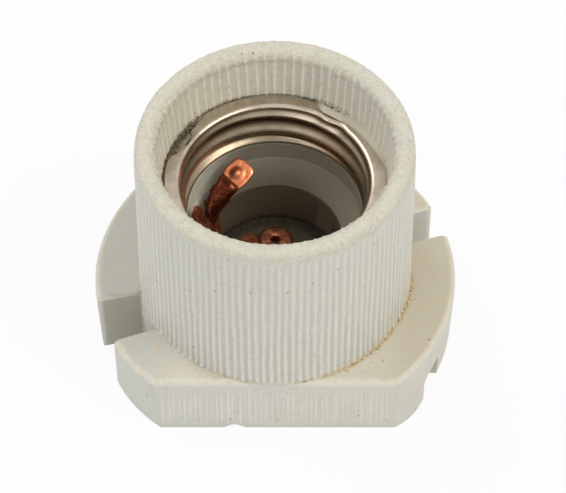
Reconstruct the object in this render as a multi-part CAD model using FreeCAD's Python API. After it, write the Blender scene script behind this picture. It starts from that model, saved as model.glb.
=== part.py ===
"""Porcelain lamp holder for a 27 mm screw lamp: ceramic body, rolled thread shell, copper contacts, terminals.

Millimetres, +Z up along the lamp axis, origin at the centre of the ceramic body's underside.
The ceramic body is the same after half a turn about Z, apart from its two fixing slots, whose widths differ,
and one nick in its lower front edge.
"""
import FreeCAD, Part
import math
import os

# ---------------------------------------------------------------- driving sizes: ceramic body
BODY_R = 19.0              # crest radius of the ribbed cylinder
TOTAL_H = 38.4             # underside to rim
RIM_ROUND_OUT = 1.1        # rounding of the rim's outer edge
RIM_ROUND_IN = 1.5         # rounding of the rim's inner edge
RIB_COUNT = 118            # fine ribs round the cylinder
RIB_DEPTH = 0.14
RIB_TOP_GAP = 0.5          # smooth band between the ribs' tops and the rim's rounding

BASE_H = 9.9               # thickness of the flanged base
BASE_R_TOP = 25.3          # base radius at its top face
BASE_R_LOW = 24.9          # the same at the underside, between the corner swells
SWELL_FRONT = (1.05, -44.0, 17.0)   # the foot's swell at the front right: height, direction, half width
SWELL_BACK = (0.40, 42.0, 28.0)     # the same at the back right, angles in degrees
BASE_ROUND = 1.0           # rounding of the base's top edge
FLAT_Y_LOW = 19.6          # distance of the two flats from the axis at the underside
FLAT_Y_TOP = 18.9          # the same at the top face
FLAT_RIB_COUNT = 24        # thin upright beads on each flat
FLAT_RIB_PITCH = 1.22
FLAT_RIB_R = 0.16

SLOT_ANGLE = 20.0          # direction of the right-hand fixing slot, and of the other one half a turn on
SLOT_UPPER = (3.25, 3.25)  # slot wall on the counter-clockwise side: half width at the cylinder and at the edge
SLOT_LOWER_LEFT = (2.95, 3.85)      # the other wall, left-hand slot
SLOT_LOWER_RIGHT = (1.30, 1.65)     # the other wall, right-hand slot
SLOT_DRAFT = 1.0           # lean of the left-hand slot's lower wall, over the base's height
SLOT_CORNER = 1.3          # rounding of the slot's outer corners
SLOT_BEVEL = 0.5           # bevel of the slot's top edges

MOUTH_R_TOP = 15.8         # mouth radius under the rim's rounding
MOUTH_R_LOW = 15.35        # mouth radius at the shelf that carries the shell's collar
MOUTH_RIB_COUNT = 76
MOUTH_RIB_DEPTH = 0.12
SHELF_Z = 30.25            # shelf that carries the collar
LEDGE_Z = 23.6             # ledge below the shell
THROAT_R = 11.95           # smooth ring below the shell
CONE_TOP_Z = 20.5
CONE_LOW_Z = 17.7
WELL_R = 9.35
FLOOR_Z = 10.3

# ---------------------------------------------------------------- driving sizes: underside
POCKET_HALF_W = 6.0        # half width of a terminal pocket
POCKET_Y_IN = 2.3          # inner end wall, from the axis
POCKET_Y_OUT = 16.8        # outer end wall, from the axis
POCKET_H = 7.0             # height of the pocket's ceiling
POCKET_CORNER = 1.5
WIRE_Y_IN = 10.4           # wire notch: side wall nearer the axis
WIRE_Y_OUT = 14.7          # wire notch: side wall nearer the flat
WIRE_H = 4.1
WIRE_ROUND = 1.3           # rounding of the notch's upper outer corner
NICK_X = -5.65             # nick in the lower front edge
NICK_W = 2.8
NICK_H = 0.65
NICK_DEPTH = 1.4

# ---------------------------------------------------------------- driving sizes: metal pieces
SHEET = 0.35               # thickness of the shell's sheet
COLLAR_R = 15.05           # outer radius of the shell's collar
THREAD_CREST_R = 12.25     # inner crest of the rolled thread
THREAD_DEPTH = 0.95        # crest to root, on the inner face
THREAD_PITCH = 3.63
THREAD_CREST_Z = 29.3      # height of a crest at 90 degrees
SHELL_FOLD_R = 12.9        # inner face just under the collar
SHELL_LIP_R = 12.0         # inner face at the bottom edge
SHELL_LOW_Z = 24.0
FOLD_ROUND = 0.45
WAVE_ROWS = 30             # rows of the wave's spline over the wall's height
SHELL_GAP = 0.28           # room between the thread's outer face and the ceramic bore

STRIP = 0.45               # thickness of the copper contact strips
RIVET_Y = 4.8              # tubular rivets, from the axis
RIVET_BARREL_R = 1.75
RIVET_BORE_R = 1.15
RIVET_HEAD_R = 2.5
RIVET_HEAD_H = 0.6
RIVET_TAIL_R = 2.35
RIVET_TAIL_H = 0.5
HOLE_GAP = 0.1             # radial room of a barrel or shank in a plain hole

TAB_REACH = 4.9            # length of a strip's flat end from its rivet
TAB_W = 4.4                # width of it
HEAD_ALONG = (0.24, 0.24, 0.15)     # the head's second edge, in shares of the well's radius, radius and height
HEAD_CORNER = 0.75         # rounded corners of the tongue's head
BURR_W = 1.2               # root width of the largest torn sliver
DOME_R = 1.15              # pressed dome of the centre contact
DOME_H = 0.45
BEND_GAP = 0.12            # slit at the tongue's bend line

TERMINAL_Y = 12.4          # terminal screws, from the axis
PLATE_W = 7.6
PLATE_T = 0.8
PLATE_MARGIN = 0.5         # plate ends to the pocket's end walls
WASHER_SIDE = 7.0
WASHER_T = 0.9
WASHER_CORNER = 0.6
SCREW_R = 1.45
SCREW_HEAD_R = 2.75
SCREW_HEAD_H = 2.0
SCREW_REACH = 3.6          # shank length above the washer's lower face
SCREW_SLOT_W = 0.8
SCREW_SLOT_DEPTH = 1.0
THREAD_FIT = 0.05          # radial room of the screw in its tapped plate
RELIEF_R = 2.0             # blind hole above the screw's tip
RELIEF_GAP = 0.8

# ---------------------------------------------------------------- values that follow from them
SHELL_OUT_R = THREAD_CREST_R + THREAD_DEPTH + SHEET
SHELL_BORE_R = SHELL_OUT_R + SHELL_GAP
COLLAR_TOP_Z = SHELF_Z + SHEET
PLATE_LOW_Z = POCKET_H - PLATE_T
WASHER_LOW_Z = PLATE_LOW_Z - WASHER_T
Z_AXIS = FreeCAD.Vector(0, 0, 1)
ORIGIN = FreeCAD.Vector(0, 0, 0)


def vec(x, y, z=0.0):
    return FreeCAD.Vector(x, y, z)


def polar(radius, degrees, z=0.0):
    angle = math.radians(degrees)
    return vec(radius * math.cos(angle), radius * math.sin(angle), z)


def half_turn(shape):
    """The same shape after half a turn about the lamp axis."""
    turned = shape.copy()
    turned.rotate(ORIGIN, Z_AXIS, 180)
    return turned


def revolve(edges):
    """Solid of revolution about Z from edges in the XZ plane that close on themselves."""
    return Part.Face(Part.Wire(edges)).revolve(ORIGIN, Z_AXIS, 360)


def lines(points):
    return [Part.LineSegment(a, b).toShape() for a, b in zip(points[:-1], points[1:])]


def quarter(start, centre, end):
    """Quarter arc in the XZ plane from start to end about centre."""
    bisector = (start - centre) + (end - centre)
    bisector.normalize()
    middle = centre + bisector * (start - centre).Length
    return Part.Arc(start, middle, end).toShape()


def rounded_box(x_low, x_high, y_low, y_high, z_low, z_high, corner):
    """Upright box with rounded vertical edges."""
    box = Part.makeBox(x_high - x_low, y_high - y_low, z_high - z_low, vec(x_low, y_low, z_low))
    upright = [e for e in box.Edges if abs(e.tangentAt(e.FirstParameter).z) > 0.99]
    return box.makeFillet(corner, upright)


def scallop_wire(crest_r, groove_r, count, z):
    """Closed outline of arcs that meet at groove_r and bulge to crest_r."""
    step = 360.0 / count
    arcs = []
    for i in range(count):
        start = polar(groove_r, i * step, z)
        middle = polar(crest_r, (i + 0.5) * step, z)
        end = polar(groove_r, (i + 1) * step, z)
        arcs.append(Part.Arc(start, middle, end).toShape())
    return Part.Wire(arcs)


# ---------------------------------------------------------------- ceramic body
def foot_radius(degrees):
    """Radius of the right-hand half of the underside's outline, swollen towards its two corners."""
    radius = BASE_R_LOW
    for height, centre, half_width in (SWELL_FRONT, SWELL_BACK):
        offset = (degrees - centre) / half_width
        if abs(offset) < 1:
            radius += height * math.cos(offset * math.pi / 2) ** 2
    return radius


def foot_corner(side):
    """Direction in which the underside's outline meets a flat; side is -1 for the front and 1 for the back."""
    low, high = 30.0, 80.0
    for _ in range(40):
        middle = (low + high) / 2
        if foot_radius(side * middle) * math.sin(math.radians(middle)) < FLAT_Y_LOW:
            low = middle
        else:
            high = middle
    return side * low


def base_disc():
    """Thick disc with two drafted flats, a foot that narrows between its corners, and a rounded top edge."""
    start, end = foot_corner(-1), foot_corner(1)
    steps = 28
    angles = [start + (end - start) * i / steps for i in range(steps + 1)]
    low_points = [polar(foot_radius(angle), angle) for angle in angles]
    spline = Part.BSplineCurve()
    spline.interpolate(low_points)
    foot = spline.toShape()
    corner = math.degrees(math.asin(FLAT_Y_TOP / BASE_R_TOP))
    brow = Part.Arc(polar(BASE_R_TOP, -corner, BASE_H), vec(BASE_R_TOP, 0, BASE_H),
                    polar(BASE_R_TOP, corner, BASE_H)).toShape()
    flat_low = Part.LineSegment(low_points[-1], half_turn(foot).Vertexes[0].Point).toShape()
    flat_top = Part.LineSegment(polar(BASE_R_TOP, corner, BASE_H),
                                polar(BASE_R_TOP, 180 - corner, BASE_H)).toShape()
    side = Part.makeRuledSurface(foot, brow)
    flat = Part.makeRuledSurface(flat_low, flat_top)
    lower = Part.Face(Part.Wire([foot, flat_low, half_turn(foot), half_turn(flat_low)]))
    upper = Part.Face(Part.Wire([brow, flat_top, half_turn(brow), half_turn(flat_top)]))
    skin = Part.makeCompound([side, flat, half_turn(side), half_turn(flat), lower, upper])
    skin.sewShape()
    disc = Part.makeSolid(skin.Shells[0])
    if disc.Volume < 0:
        disc.reverse()
    top_edges = [e for e in disc.Edges if e.BoundBox.ZMin > BASE_H - 0.01]
    return disc.makeFillet(BASE_ROUND, top_edges)


def flat_beads():
    """Thin upright beads on the front flat, following its draft."""
    lean = (FLAT_Y_LOW - FLAT_Y_TOP) / BASE_H
    height = BASE_H - BASE_ROUND
    direction = vec(0, lean, 1)
    length = height * direction.Length
    beads = []
    for i in range(FLAT_RIB_COUNT):
        x = (i - (FLAT_RIB_COUNT - 1) / 2.0) * FLAT_RIB_PITCH
        bead = Part.makeCylinder(FLAT_RIB_R, length, vec(x, -FLAT_Y_LOW + FLAT_RIB_R * 0.2, 0), direction)
        beads.append(bead.common(Part.makeBox(1, 2, height, vec(x - 0.5, -FLAT_Y_LOW - 1, 0))))
    return beads


def slot_outline(upper, lower, z):
    """Plan outline of a fixing slot along +X; upper and lower are its two walls' offsets from the line."""
    start_r = BODY_R - 2.0
    corner_r = BASE_R_TOP - SLOT_CORNER
    beyond = BASE_R_TOP + 1.0
    turn = SLOT_CORNER * (1 - math.sqrt(0.5))
    edges = []
    for sign, (inner, outer) in ((1, upper), (-1, lower)):
        root = vec(start_r, sign * inner, z)
        bend = vec(corner_r, sign * outer, z)
        middle = vec(corner_r + SLOT_CORNER * math.sqrt(0.5), sign * (outer + turn), z)
        tip = vec(corner_r + SLOT_CORNER, sign * (outer + SLOT_CORNER), z)
        out = vec(beyond, sign * (outer + SLOT_CORNER), z)
        edges.append([Part.LineSegment(root, bend).toShape(), Part.Arc(bend, middle, tip).toShape(),
                      Part.LineSegment(tip, out).toShape(), root, out])
    one, other = edges
    closing = [Part.LineSegment(one[4], other[4]).toShape(), Part.LineSegment(one[3], other[3]).toShape()]
    return Part.Wire(Part.__sortEdges__(one[:3] + other[:3] + closing))


def slot_cutter(lower, draft, degrees):
    """Open fixing slot through the base, with a leaning wall and bevelled top edges."""
    def walls(grow, lean):
        upper_wall = tuple(half + grow for half in SLOT_UPPER)
        lower_wall = tuple(half + grow - lean for half in lower)
        return upper_wall, lower_wall

    top = slot_outline(*walls(0, 0), BASE_H)
    shaft = Part.makeLoft([slot_outline(*walls(0, draft * (1 + 1 / BASE_H)), -1), top], True, True)
    bevel = Part.makeLoft([slot_outline(*walls(0, 0), BASE_H - SLOT_BEVEL),
                           slot_outline(*walls(2 * SLOT_BEVEL, 0), BASE_H + SLOT_BEVEL)], True, True)
    cutter = shaft.fuse(bevel)
    cutter.rotate(ORIGIN, Z_AXIS, degrees)
    return cutter


def ribbed_cylinder():
    """Outer cylinder with fine upright ribs, and a smooth rounded rim."""
    rib_top = TOTAL_H - RIM_ROUND_OUT - RIB_TOP_GAP
    outline = scallop_wire(BODY_R, BODY_R - RIB_DEPTH, RIB_COUNT, BASE_H - BASE_ROUND)
    ribs = Part.Face(outline).extrude(vec(0, 0, rib_top - BASE_H + BASE_ROUND))
    core = Part.makeCylinder(BODY_R - RIB_DEPTH / 2, BASE_H)
    rim_r = BODY_R - RIB_DEPTH / 2
    turn = quarter(vec(rim_r, 0, TOTAL_H - RIM_ROUND_OUT),
                   vec(rim_r - RIM_ROUND_OUT, 0, TOTAL_H - RIM_ROUND_OUT),
                   vec(rim_r - RIM_ROUND_OUT, 0, TOTAL_H))
    rim = revolve(lines([vec(rim_r - RIM_ROUND_OUT, 0, TOTAL_H), vec(0, 0, TOTAL_H), vec(0, 0, rib_top),
                         vec(rim_r, 0, rib_top), vec(rim_r, 0, TOTAL_H - RIM_ROUND_OUT)]) + [turn])
    return core.fuse([ribs, rim])


def lamp_cavity():
    """Everything that is hollow along the axis: mouth, shell bore, throat, cone and well."""
    round_z = TOTAL_H - RIM_ROUND_IN
    profile = [vec(0, 0, TOTAL_H + 1), vec(0, 0, FLOOR_Z), vec(WELL_R, 0, FLOOR_Z), vec(WELL_R, 0, CONE_LOW_Z),
               vec(THROAT_R, 0, CONE_TOP_Z), vec(THROAT_R, 0, LEDGE_Z), vec(SHELL_BORE_R, 0, LEDGE_Z),
               vec(SHELL_BORE_R, 0, SHELF_Z), vec(MOUTH_R_LOW, 0, SHELF_Z), vec(MOUTH_R_TOP, 0, round_z)]
    flare = quarter(vec(MOUTH_R_TOP, 0, round_z), vec(MOUTH_R_TOP + RIM_ROUND_IN, 0, round_z),
                    vec(MOUTH_R_TOP + RIM_ROUND_IN, 0, TOTAL_H))
    top = lines([vec(MOUTH_R_TOP + RIM_ROUND_IN, 0, TOTAL_H), vec(MOUTH_R_TOP + RIM_ROUND_IN, 0, TOTAL_H + 1),
                 vec(0, 0, TOTAL_H + 1)])
    return revolve(lines(profile) + [flare] + top)


def mouth_grooves():
    """Shallow grooves between the upright ribs of the mouth's wall."""
    low_z = SHELF_Z
    high_z = TOTAL_H - RIM_ROUND_IN - RIB_TOP_GAP
    low = scallop_wire(MOUTH_R_LOW + MOUTH_RIB_DEPTH, MOUTH_R_LOW, MOUTH_RIB_COUNT, low_z)
    high = scallop_wire(MOUTH_R_TOP + MOUTH_RIB_DEPTH, MOUTH_R_TOP, MOUTH_RIB_COUNT, high_z)
    return Part.makeLoft([low, high], True, True)


def front_pocket():
    """Terminal pocket, wire notch and holes of the front half of the underside."""
    pocket = rounded_box(-POCKET_HALF_W, POCKET_HALF_W, -POCKET_Y_OUT, -POCKET_Y_IN,
                         -1, POCKET_H, POCKET_CORNER)
    length = BASE_R_TOP + 1 - POCKET_HALF_W + POCKET_CORNER
    notch = Part.makeBox(length, WIRE_Y_OUT - WIRE_Y_IN, WIRE_H + 1,
                         vec(POCKET_HALF_W - POCKET_CORNER, -WIRE_Y_OUT, -1))
    soft = [e for e in notch.Edges if e.BoundBox.ZMin > WIRE_H - 1e-6 and e.BoundBox.YMax < -WIRE_Y_OUT + 1e-6]
    notch = notch.makeFillet(WIRE_ROUND, soft)
    rivet_hole = Part.makeCylinder(RIVET_BARREL_R + HOLE_GAP, FLOOR_Z, vec(0, -RIVET_Y, POCKET_H / 2))
    tip_z = WASHER_LOW_Z + SCREW_REACH + RELIEF_GAP
    relief = Part.makeCylinder(RELIEF_R, tip_z - POCKET_H / 2, vec(0, -TERMINAL_Y, POCKET_H / 2))
    return pocket.fuse([notch, rivet_hole, relief])


def front_nick():
    """Shallow arched nick in the lower edge of the front flat."""
    half = NICK_W / 2
    radius = (half * half + NICK_H * NICK_H) / (2 * NICK_H)
    start = vec(NICK_X, -FLAT_Y_LOW - 1, NICK_H - radius)
    return Part.makeCylinder(radius, NICK_DEPTH + 1, start, vec(0, 1, 0))


def ceramic_body():
    right = slot_cutter(SLOT_LOWER_RIGHT, 0.0, SLOT_ANGLE)
    left = slot_cutter(SLOT_LOWER_LEFT, SLOT_DRAFT, SLOT_ANGLE + 180)
    base = base_disc().cut(right).cut(left)
    beads = flat_beads()
    body = base.fuse([ribbed_cylinder()] + beads + [half_turn(b) for b in beads])
    pocket = front_pocket()
    cutters = [mouth_grooves(), pocket, half_turn(pocket), front_nick()]
    return body.cut(lamp_cavity()).cut(cutters).removeSplitter()


# ---------------------------------------------------------------- thread shell
def smooth_step(value):
    t = min(1.0, max(0.0, value))
    return t * t * (3 - 2 * t)


def thread_radius(degrees, z):
    """Inner radius of the rolled wall: a right-hand wave that fades out at both ends."""
    crest_z = THREAD_CREST_Z + THREAD_PITCH * (degrees - 90.0) / 360.0
    wave = math.cos(2 * math.pi * (z - crest_z) / THREAD_PITCH)
    rolled = THREAD_CREST_R + THREAD_DEPTH * (1 - wave) / 2
    top = smooth_step((SHELF_Z - z) / (THREAD_PITCH * 0.35))
    low = smooth_step((z - SHELL_LOW_Z) / (THREAD_PITCH * 0.25))
    radius = SHELL_FOLD_R + (rolled - SHELL_FOLD_R) * top
    return SHELL_LIP_R + (radius - SHELL_LIP_R) * low


def wave_face(extra, z_low, z_high, rows, flare):
    """Closed B-spline face through the rolled wall; extra is added to the inner radius."""
    columns = 60
    poles = []
    for i in range(columns):
        angle = 360.0 * i / columns
        line = []
        for j in range(rows):
            z = z_low + (z_high - z_low) * j / (rows - 1)
            rise = max(0.0, z - (z_high - flare)) if flare else 0.0
            bulge = flare - math.sqrt(max(0.0, flare * flare - rise * rise)) if flare else 0.0
            line.append(polar(thread_radius(angle, z) + extra + bulge, angle, z))
        poles.append(line)
    surface = Part.BSplineSurface()
    surface.buildFromPolesMultsKnots(poles, [1] * (columns + 1), [4] + [1] * (rows - 4) + [4],
                                     list(range(columns + 1)), list(range(rows - 2)), True, False, 3, 3)
    return surface.toShape()


def ring_edge(face, z):
    """The closed edge of a face that lies at height z."""
    level = [e for e in face.Edges if abs(e.BoundBox.ZMin - z) < 1e-6 and abs(e.BoundBox.ZMax - z) < 1e-6]
    return Part.Wire(level)


def collar_cutters():
    """The pressed notch and the dented stretch of the collar's edge, as prisms."""
    notch_r = SHELL_OUT_R - 0.45
    notch = [polar(COLLAR_R + 1, 139), polar(COLLAR_R, 141), polar(notch_r + 0.9, 146), polar(notch_r, 150.5),
             polar(notch_r, 158.5), polar(COLLAR_R, 160.5), polar(COLLAR_R + 1, 161)]
    dent_r = COLLAR_R - 0.7
    dent = [polar(COLLAR_R + 1, 73), polar(COLLAR_R, 72), polar(dent_r, 64), polar(dent_r - 0.05, 56),
            polar(COLLAR_R, 50), polar(COLLAR_R + 1, 49)]
    prisms = []
    for points in (notch, dent):
        face = Part.Face(Part.Wire(lines(points + points[:1])))
        prism = face.extrude(vec(0, 0, 3))
        prism.translate(vec(0, 0, SHELF_Z - 1))
        prisms.append(prism)
    return prisms


def thread_shell():
    """Rolled sheet shell: a helical wave in the wall, a flat collar above, open below."""
    inner = wave_face(0.0, SHELL_LOW_Z, COLLAR_TOP_Z, WAVE_ROWS, FOLD_ROUND)
    outer = wave_face(SHEET, SHELL_LOW_Z, SHELF_Z, WAVE_ROWS - 2, 0.0)
    edge_low = Part.Wire(Part.makeCircle(COLLAR_R, vec(0, 0, SHELF_Z)))
    edge_top = Part.Wire(Part.makeCircle(COLLAR_R, vec(0, 0, COLLAR_TOP_Z)))
    maker = "Part::FaceMakerBullseye"
    top = Part.makeFace([edge_top, ring_edge(inner, COLLAR_TOP_Z)], maker)
    under = Part.makeFace([edge_low, ring_edge(outer, SHELF_Z)], maker)
    lip = Part.makeFace([ring_edge(outer, SHELL_LOW_Z), ring_edge(inner, SHELL_LOW_Z)], maker)
    edge = Part.makeCylinder(COLLAR_R, SHEET, vec(0, 0, SHELF_Z)).Faces
    side = [f for f in edge if f.Surface.TypeId == "Part::GeomCylinder"]
    skin = Part.makeCompound([inner, outer, top, under, lip] + side)
    skin.sewShape()
    solid = Part.makeSolid(skin.Shells[0])
    if solid.Volume < 0:
        solid.reverse()
    return solid.cut(collar_cutters())


# ---------------------------------------------------------------- copper strips
def in_well(x, y, rise):
    """Point by shares of the well: x and y of its radius, rise of its wall's height above the floor."""
    return vec(x * WELL_R, y * WELL_R, FLOOR_Z + rise * (CONE_LOW_Z - FLOOR_Z))


def ribbon(stations, thickness, ruled=False):
    """Bent, twisted strip through stations of (left edge, right edge) on its inner face."""
    wires = []
    last = len(stations) - 1
    for i, (left, right) in enumerate(stations):
        before = stations[max(0, i - 1)]
        after = stations[min(last, i + 1)]
        along = (after[0] + after[1]) - (before[0] + before[1])
        normal = (right - left).cross(along)
        normal.normalize()
        corners = [left, right, right - normal * thickness, left - normal * thickness]
        wires.append(Part.makePolygon(corners + corners[:1]))
    return Part.makeLoft(wires, True, ruled)


def riveted_tab(x_end, y_low, y_high):
    """Flat end of a strip on the well's floor, round its rivet, with the rivet's hole."""
    middle = (y_low + y_high) / 2
    pad = rounded_box(x_end, RIVET_HEAD_R + 0.3, y_low, y_high, FLOOR_Z, FLOOR_Z + STRIP, 1.0)
    return pad.cut(Part.makeCylinder(RIVET_BARREL_R + HOLE_GAP, 2, vec(0, middle, FLOOR_Z - 1)))


def centre_contact_foot():
    """Riveted foot of the centre contact: across the floor, then up the well's wall."""
    tab = riveted_tab(-TAB_REACH, RIVET_Y - TAB_W / 2, RIVET_Y + TAB_W / 2)
    stations = [(in_well(-0.374, 0.278, 0.061), in_well(-0.374, 0.578, 0.061)),
                (in_well(-0.642, 0.203, 0.061), in_well(-0.610, 0.524, 0.061)),
                (in_well(-0.770, 0.171, 0.108), in_well(-0.711, 0.508, 0.108)),
                (in_well(-0.872, 0.139, 0.291), in_well(-0.791, 0.492, 0.291)),
                (in_well(-0.914, 0.118, 0.662), in_well(-0.813, 0.465, 0.662)),
                (in_well(-0.925, 0.112, 0.997), in_well(-0.824, 0.460, 0.997))]
    return tab.fuse(ribbon(stations, STRIP)).removeSplitter()


def tongue_head(corner, across, along):
    """Rounded square plate with a pressed dome, spanned by two edge vectors from a corner."""
    normal = across.cross(along)
    normal.normalize()
    side_a, side_b = FreeCAD.Vector(across), FreeCAD.Vector(along)
    side_a.normalize()
    side_b.normalize()
    outline = [corner - side_b * 0.3, corner + across - side_b * 0.3, corner + across + along, corner + along]
    plate = Part.Face(Part.makePolygon(outline + outline[:1])).extrude(normal * -STRIP)
    far = corner + across / 2 + along
    ends = []
    for edge in plate.Edges:
        direct = edge.tangentAt(edge.FirstParameter)
        if abs(direct.dot(normal)) > 0.99 and edge.CenterOfMass.distanceToPoint(far) < across.Length * 0.7:
            ends.append(edge)
    plate = plate.makeFillet(HEAD_CORNER, ends)
    ball_r = (DOME_R * DOME_R + DOME_H * DOME_H) / (2 * DOME_H)
    middle = corner + (across + along) / 2
    ball = Part.makeSphere(ball_r, middle - normal * (ball_r - DOME_H))
    sunk = [p + normal * -STRIP * 0.5 for p in outline + outline[:1]]
    slab = Part.Face(Part.makePolygon(sunk)).extrude(normal * 3)
    return plate.fuse(ball.common(slab))


def burr(root, tip, width, normal):
    """Thin torn sliver on the strip's sheared edge."""
    side = (tip - root).cross(normal)
    side.normalize()
    points = [root - side * width / 2, root + side * width / 2, tip]
    return Part.Face(Part.makePolygon(points + points[:1])).extrude(normal * -STRIP * 0.5)


def centre_contact_tongue():
    """Sprung tongue of the centre contact, twisted towards the back, with a torn left edge."""
    stations = [(in_well(-0.925, 0.112, 1.014), in_well(-0.824, 0.460, 1.014)),
                (in_well(-1.000, 0.182, 1.216), in_well(-0.749, 0.476, 1.162)),
                (in_well(-1.021, 0.321, 1.412), in_well(-0.663, 0.492, 1.351)),
                (in_well(-0.941, 0.524, 1.547), in_well(-0.610, 0.492, 1.500)),
                (in_well(-0.802, 0.738, 1.723), in_well(-0.545, 0.524, 1.622))]
    stations = [(left + vec(0, 0, BEND_GAP), right + vec(0, 0, BEND_GAP)) for left, right in stations]
    neck = ribbon(stations, STRIP)
    left, right = stations[-1]
    along = in_well(*HEAD_ALONG) - vec(0, 0, FLOOR_Z)
    head = tongue_head(left, right - left, along)
    facing = vec(0.39, -0.71, 0.58)
    facing.normalize()
    burrs = [burr(in_well(-0.856, 0.663, 1.62), in_well(-1.015, 0.640, 1.54), BURR_W, facing),
             burr(in_well(-0.952, 0.492, 1.51), in_well(-1.060, 0.481, 1.42), BURR_W * 0.8, facing),
             burr(in_well(-0.995, 0.385, 1.43), in_well(-1.080, 0.353, 1.37), BURR_W * 0.7, facing)]
    return neck.fuse([head] + burrs)


def side_contact():
    """Strip from its rivet up the well's wall, with its end trapped under the shell's lip."""
    tab = riveted_tab(-TAB_REACH + 0.9, -RIVET_Y - TAB_W / 2, -RIVET_Y + TAB_W / 2)
    stations = [(in_well(-0.299, -0.599, 0.061), in_well(-0.299, -0.321, 0.061)),
                (in_well(-0.599, -0.492, 0.061), in_well(-0.631, -0.182, 0.061)),
                (in_well(-0.754, -0.385, 0.108), in_well(-0.791, -0.080, 0.108)),
                (in_well(-0.824, -0.321, 0.277), in_well(-0.850, -0.011, 0.277)),
                (in_well(-0.834, -0.289, 0.838), in_well(-0.850, 0.021, 0.838)),
                (in_well(-0.888, -0.267, 1.162), in_well(-0.872, 0.064, 1.162)),
                (in_well(-1.027, -0.235, 1.432), in_well(-0.984, 0.107, 1.432)),
                (in_well(-1.144, -0.203, 1.662), in_well(-1.118, 0.123, 1.662)),
                (in_well(-1.187, -0.203, 1.849), in_well(-1.187, 0.128, 1.849))]
    run = ribbon(stations, STRIP * 0.8)
    left, right = stations[-1]
    tail = Part.makeBox(THROAT_R * 0.17, right.y - left.y, STRIP * 0.8,
                        vec(left.x - THROAT_R * 0.176, left.y, left.z - STRIP * 0.8))
    return tab.fuse([run, tail]).removeSplitter()


def tubular_rivet(side):
    """Copper eyelet that clamps a strip, the ceramic web and a terminal plate."""
    head_z = FLOOR_Z + STRIP
    half = RIVET_HEAD_H / 2
    tail = RIVET_TAIL_H / 2
    low_z = PLATE_LOW_Z
    roll = Part.Arc(vec(RIVET_HEAD_R, 0, head_z), vec(RIVET_HEAD_R - half * 0.6, 0, head_z + half * 1.7),
                    vec(RIVET_BORE_R + half * 1.6, 0, head_z + RIVET_HEAD_H)).toShape()
    lip = Part.Arc(vec(RIVET_BORE_R + half * 1.6, 0, head_z + RIVET_HEAD_H),
                   vec(RIVET_BORE_R + half * 0.5, 0, head_z + half * 1.5),
                   vec(RIVET_BORE_R, 0, head_z)).toShape()
    foot = lines([vec(RIVET_BORE_R, 0, head_z), vec(RIVET_BORE_R, 0, low_z - tail)])
    curl = Part.Arc(vec(RIVET_BORE_R, 0, low_z - tail), vec(RIVET_BORE_R + tail, 0, low_z - RIVET_TAIL_H),
                    vec(RIVET_TAIL_R, 0, low_z - tail)).toShape()
    outside = lines([vec(RIVET_TAIL_R, 0, low_z - tail), vec(RIVET_TAIL_R, 0, low_z), vec(RIVET_BARREL_R, 0, low_z),
                     vec(RIVET_BARREL_R, 0, head_z), vec(RIVET_HEAD_R, 0, head_z)])
    rivet = revolve([roll, lip] + foot + [curl] + outside)
    rivet.translate(vec(0, side * RIVET_Y, 0))
    return rivet


# ---------------------------------------------------------------- terminals, for the front pocket
def terminal_plate():
    plate = rounded_box(-PLATE_W / 2, PLATE_W / 2, -POCKET_Y_OUT + PLATE_MARGIN, -POCKET_Y_IN - 0.1,
                        PLATE_LOW_Z, POCKET_H, 1.0)
    rivet_hole = Part.makeCylinder(RIVET_BARREL_R + HOLE_GAP, 3, vec(0, -RIVET_Y, PLATE_LOW_Z - 1))
    tapped = Part.makeCylinder(SCREW_R + THREAD_FIT, 3, vec(0, -TERMINAL_Y, PLATE_LOW_Z - 1))
    return plate.cut([rivet_hole, tapped])


def clamp_washer():
    """Square clamp washer under the screw's head, with rounded corners."""
    half = WASHER_SIDE / 2
    washer = rounded_box(-half, half, -TERMINAL_Y - half, -TERMINAL_Y + half, WASHER_LOW_Z, PLATE_LOW_Z, WASHER_CORNER)
    return washer.cut(Part.makeCylinder(SCREW_R + HOLE_GAP, 3, vec(0, -TERMINAL_Y, WASHER_LOW_Z - 1)))


def terminal_screw():
    """Cheese-head screw, head down, with a driver slot and a chamfered tip."""
    head = Part.makeCylinder(SCREW_HEAD_R, SCREW_HEAD_H, vec(0, -TERMINAL_Y, WASHER_LOW_Z - SCREW_HEAD_H))
    lower = [e for e in head.Edges if e.BoundBox.ZMax < WASHER_LOW_Z - SCREW_HEAD_H + 1e-6]
    head = head.makeFillet(0.35, lower)
    shank = Part.makeCylinder(SCREW_R, SCREW_REACH, vec(0, -TERMINAL_Y, WASHER_LOW_Z))
    tip = [e for e in shank.Edges if e.BoundBox.ZMin > WASHER_LOW_Z + SCREW_REACH - 1e-6]
    shank = shank.makeChamfer(0.3, tip)
    slot = Part.makeBox(2 * SCREW_HEAD_R + 1, SCREW_SLOT_W, SCREW_SLOT_DEPTH + 1,
                        vec(-SCREW_HEAD_R - 0.5, -TERMINAL_Y - SCREW_SLOT_W / 2, WASHER_LOW_Z - SCREW_HEAD_H - 1))
    return head.fuse(shank).cut(slot)


def build():
    """Every piece by its node name; the live side is at the back, the neutral side at the front."""
    parts = {
        "ceramic_body": ceramic_body(),
        "thread_shell": thread_shell(),
        "centre_contact_foot": centre_contact_foot(),
        "centre_contact_tongue": centre_contact_tongue(),
        "centre_rivet": tubular_rivet(1),
        "side_contact": side_contact(),
        "side_rivet": tubular_rivet(-1),
    }
    for name, make in (("terminal_plate", terminal_plate), ("clamp_washer", clamp_washer),
                       ("terminal_screw", terminal_screw)):
        front = make()
        parts["neutral_" + name] = front
        parts["live_" + name] = half_turn(front)
    return parts


def single_solid(shape):
    solids = shape.Solids
    return solids[0] if len(solids) == 1 else Part.makeCompound(solids)


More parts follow.
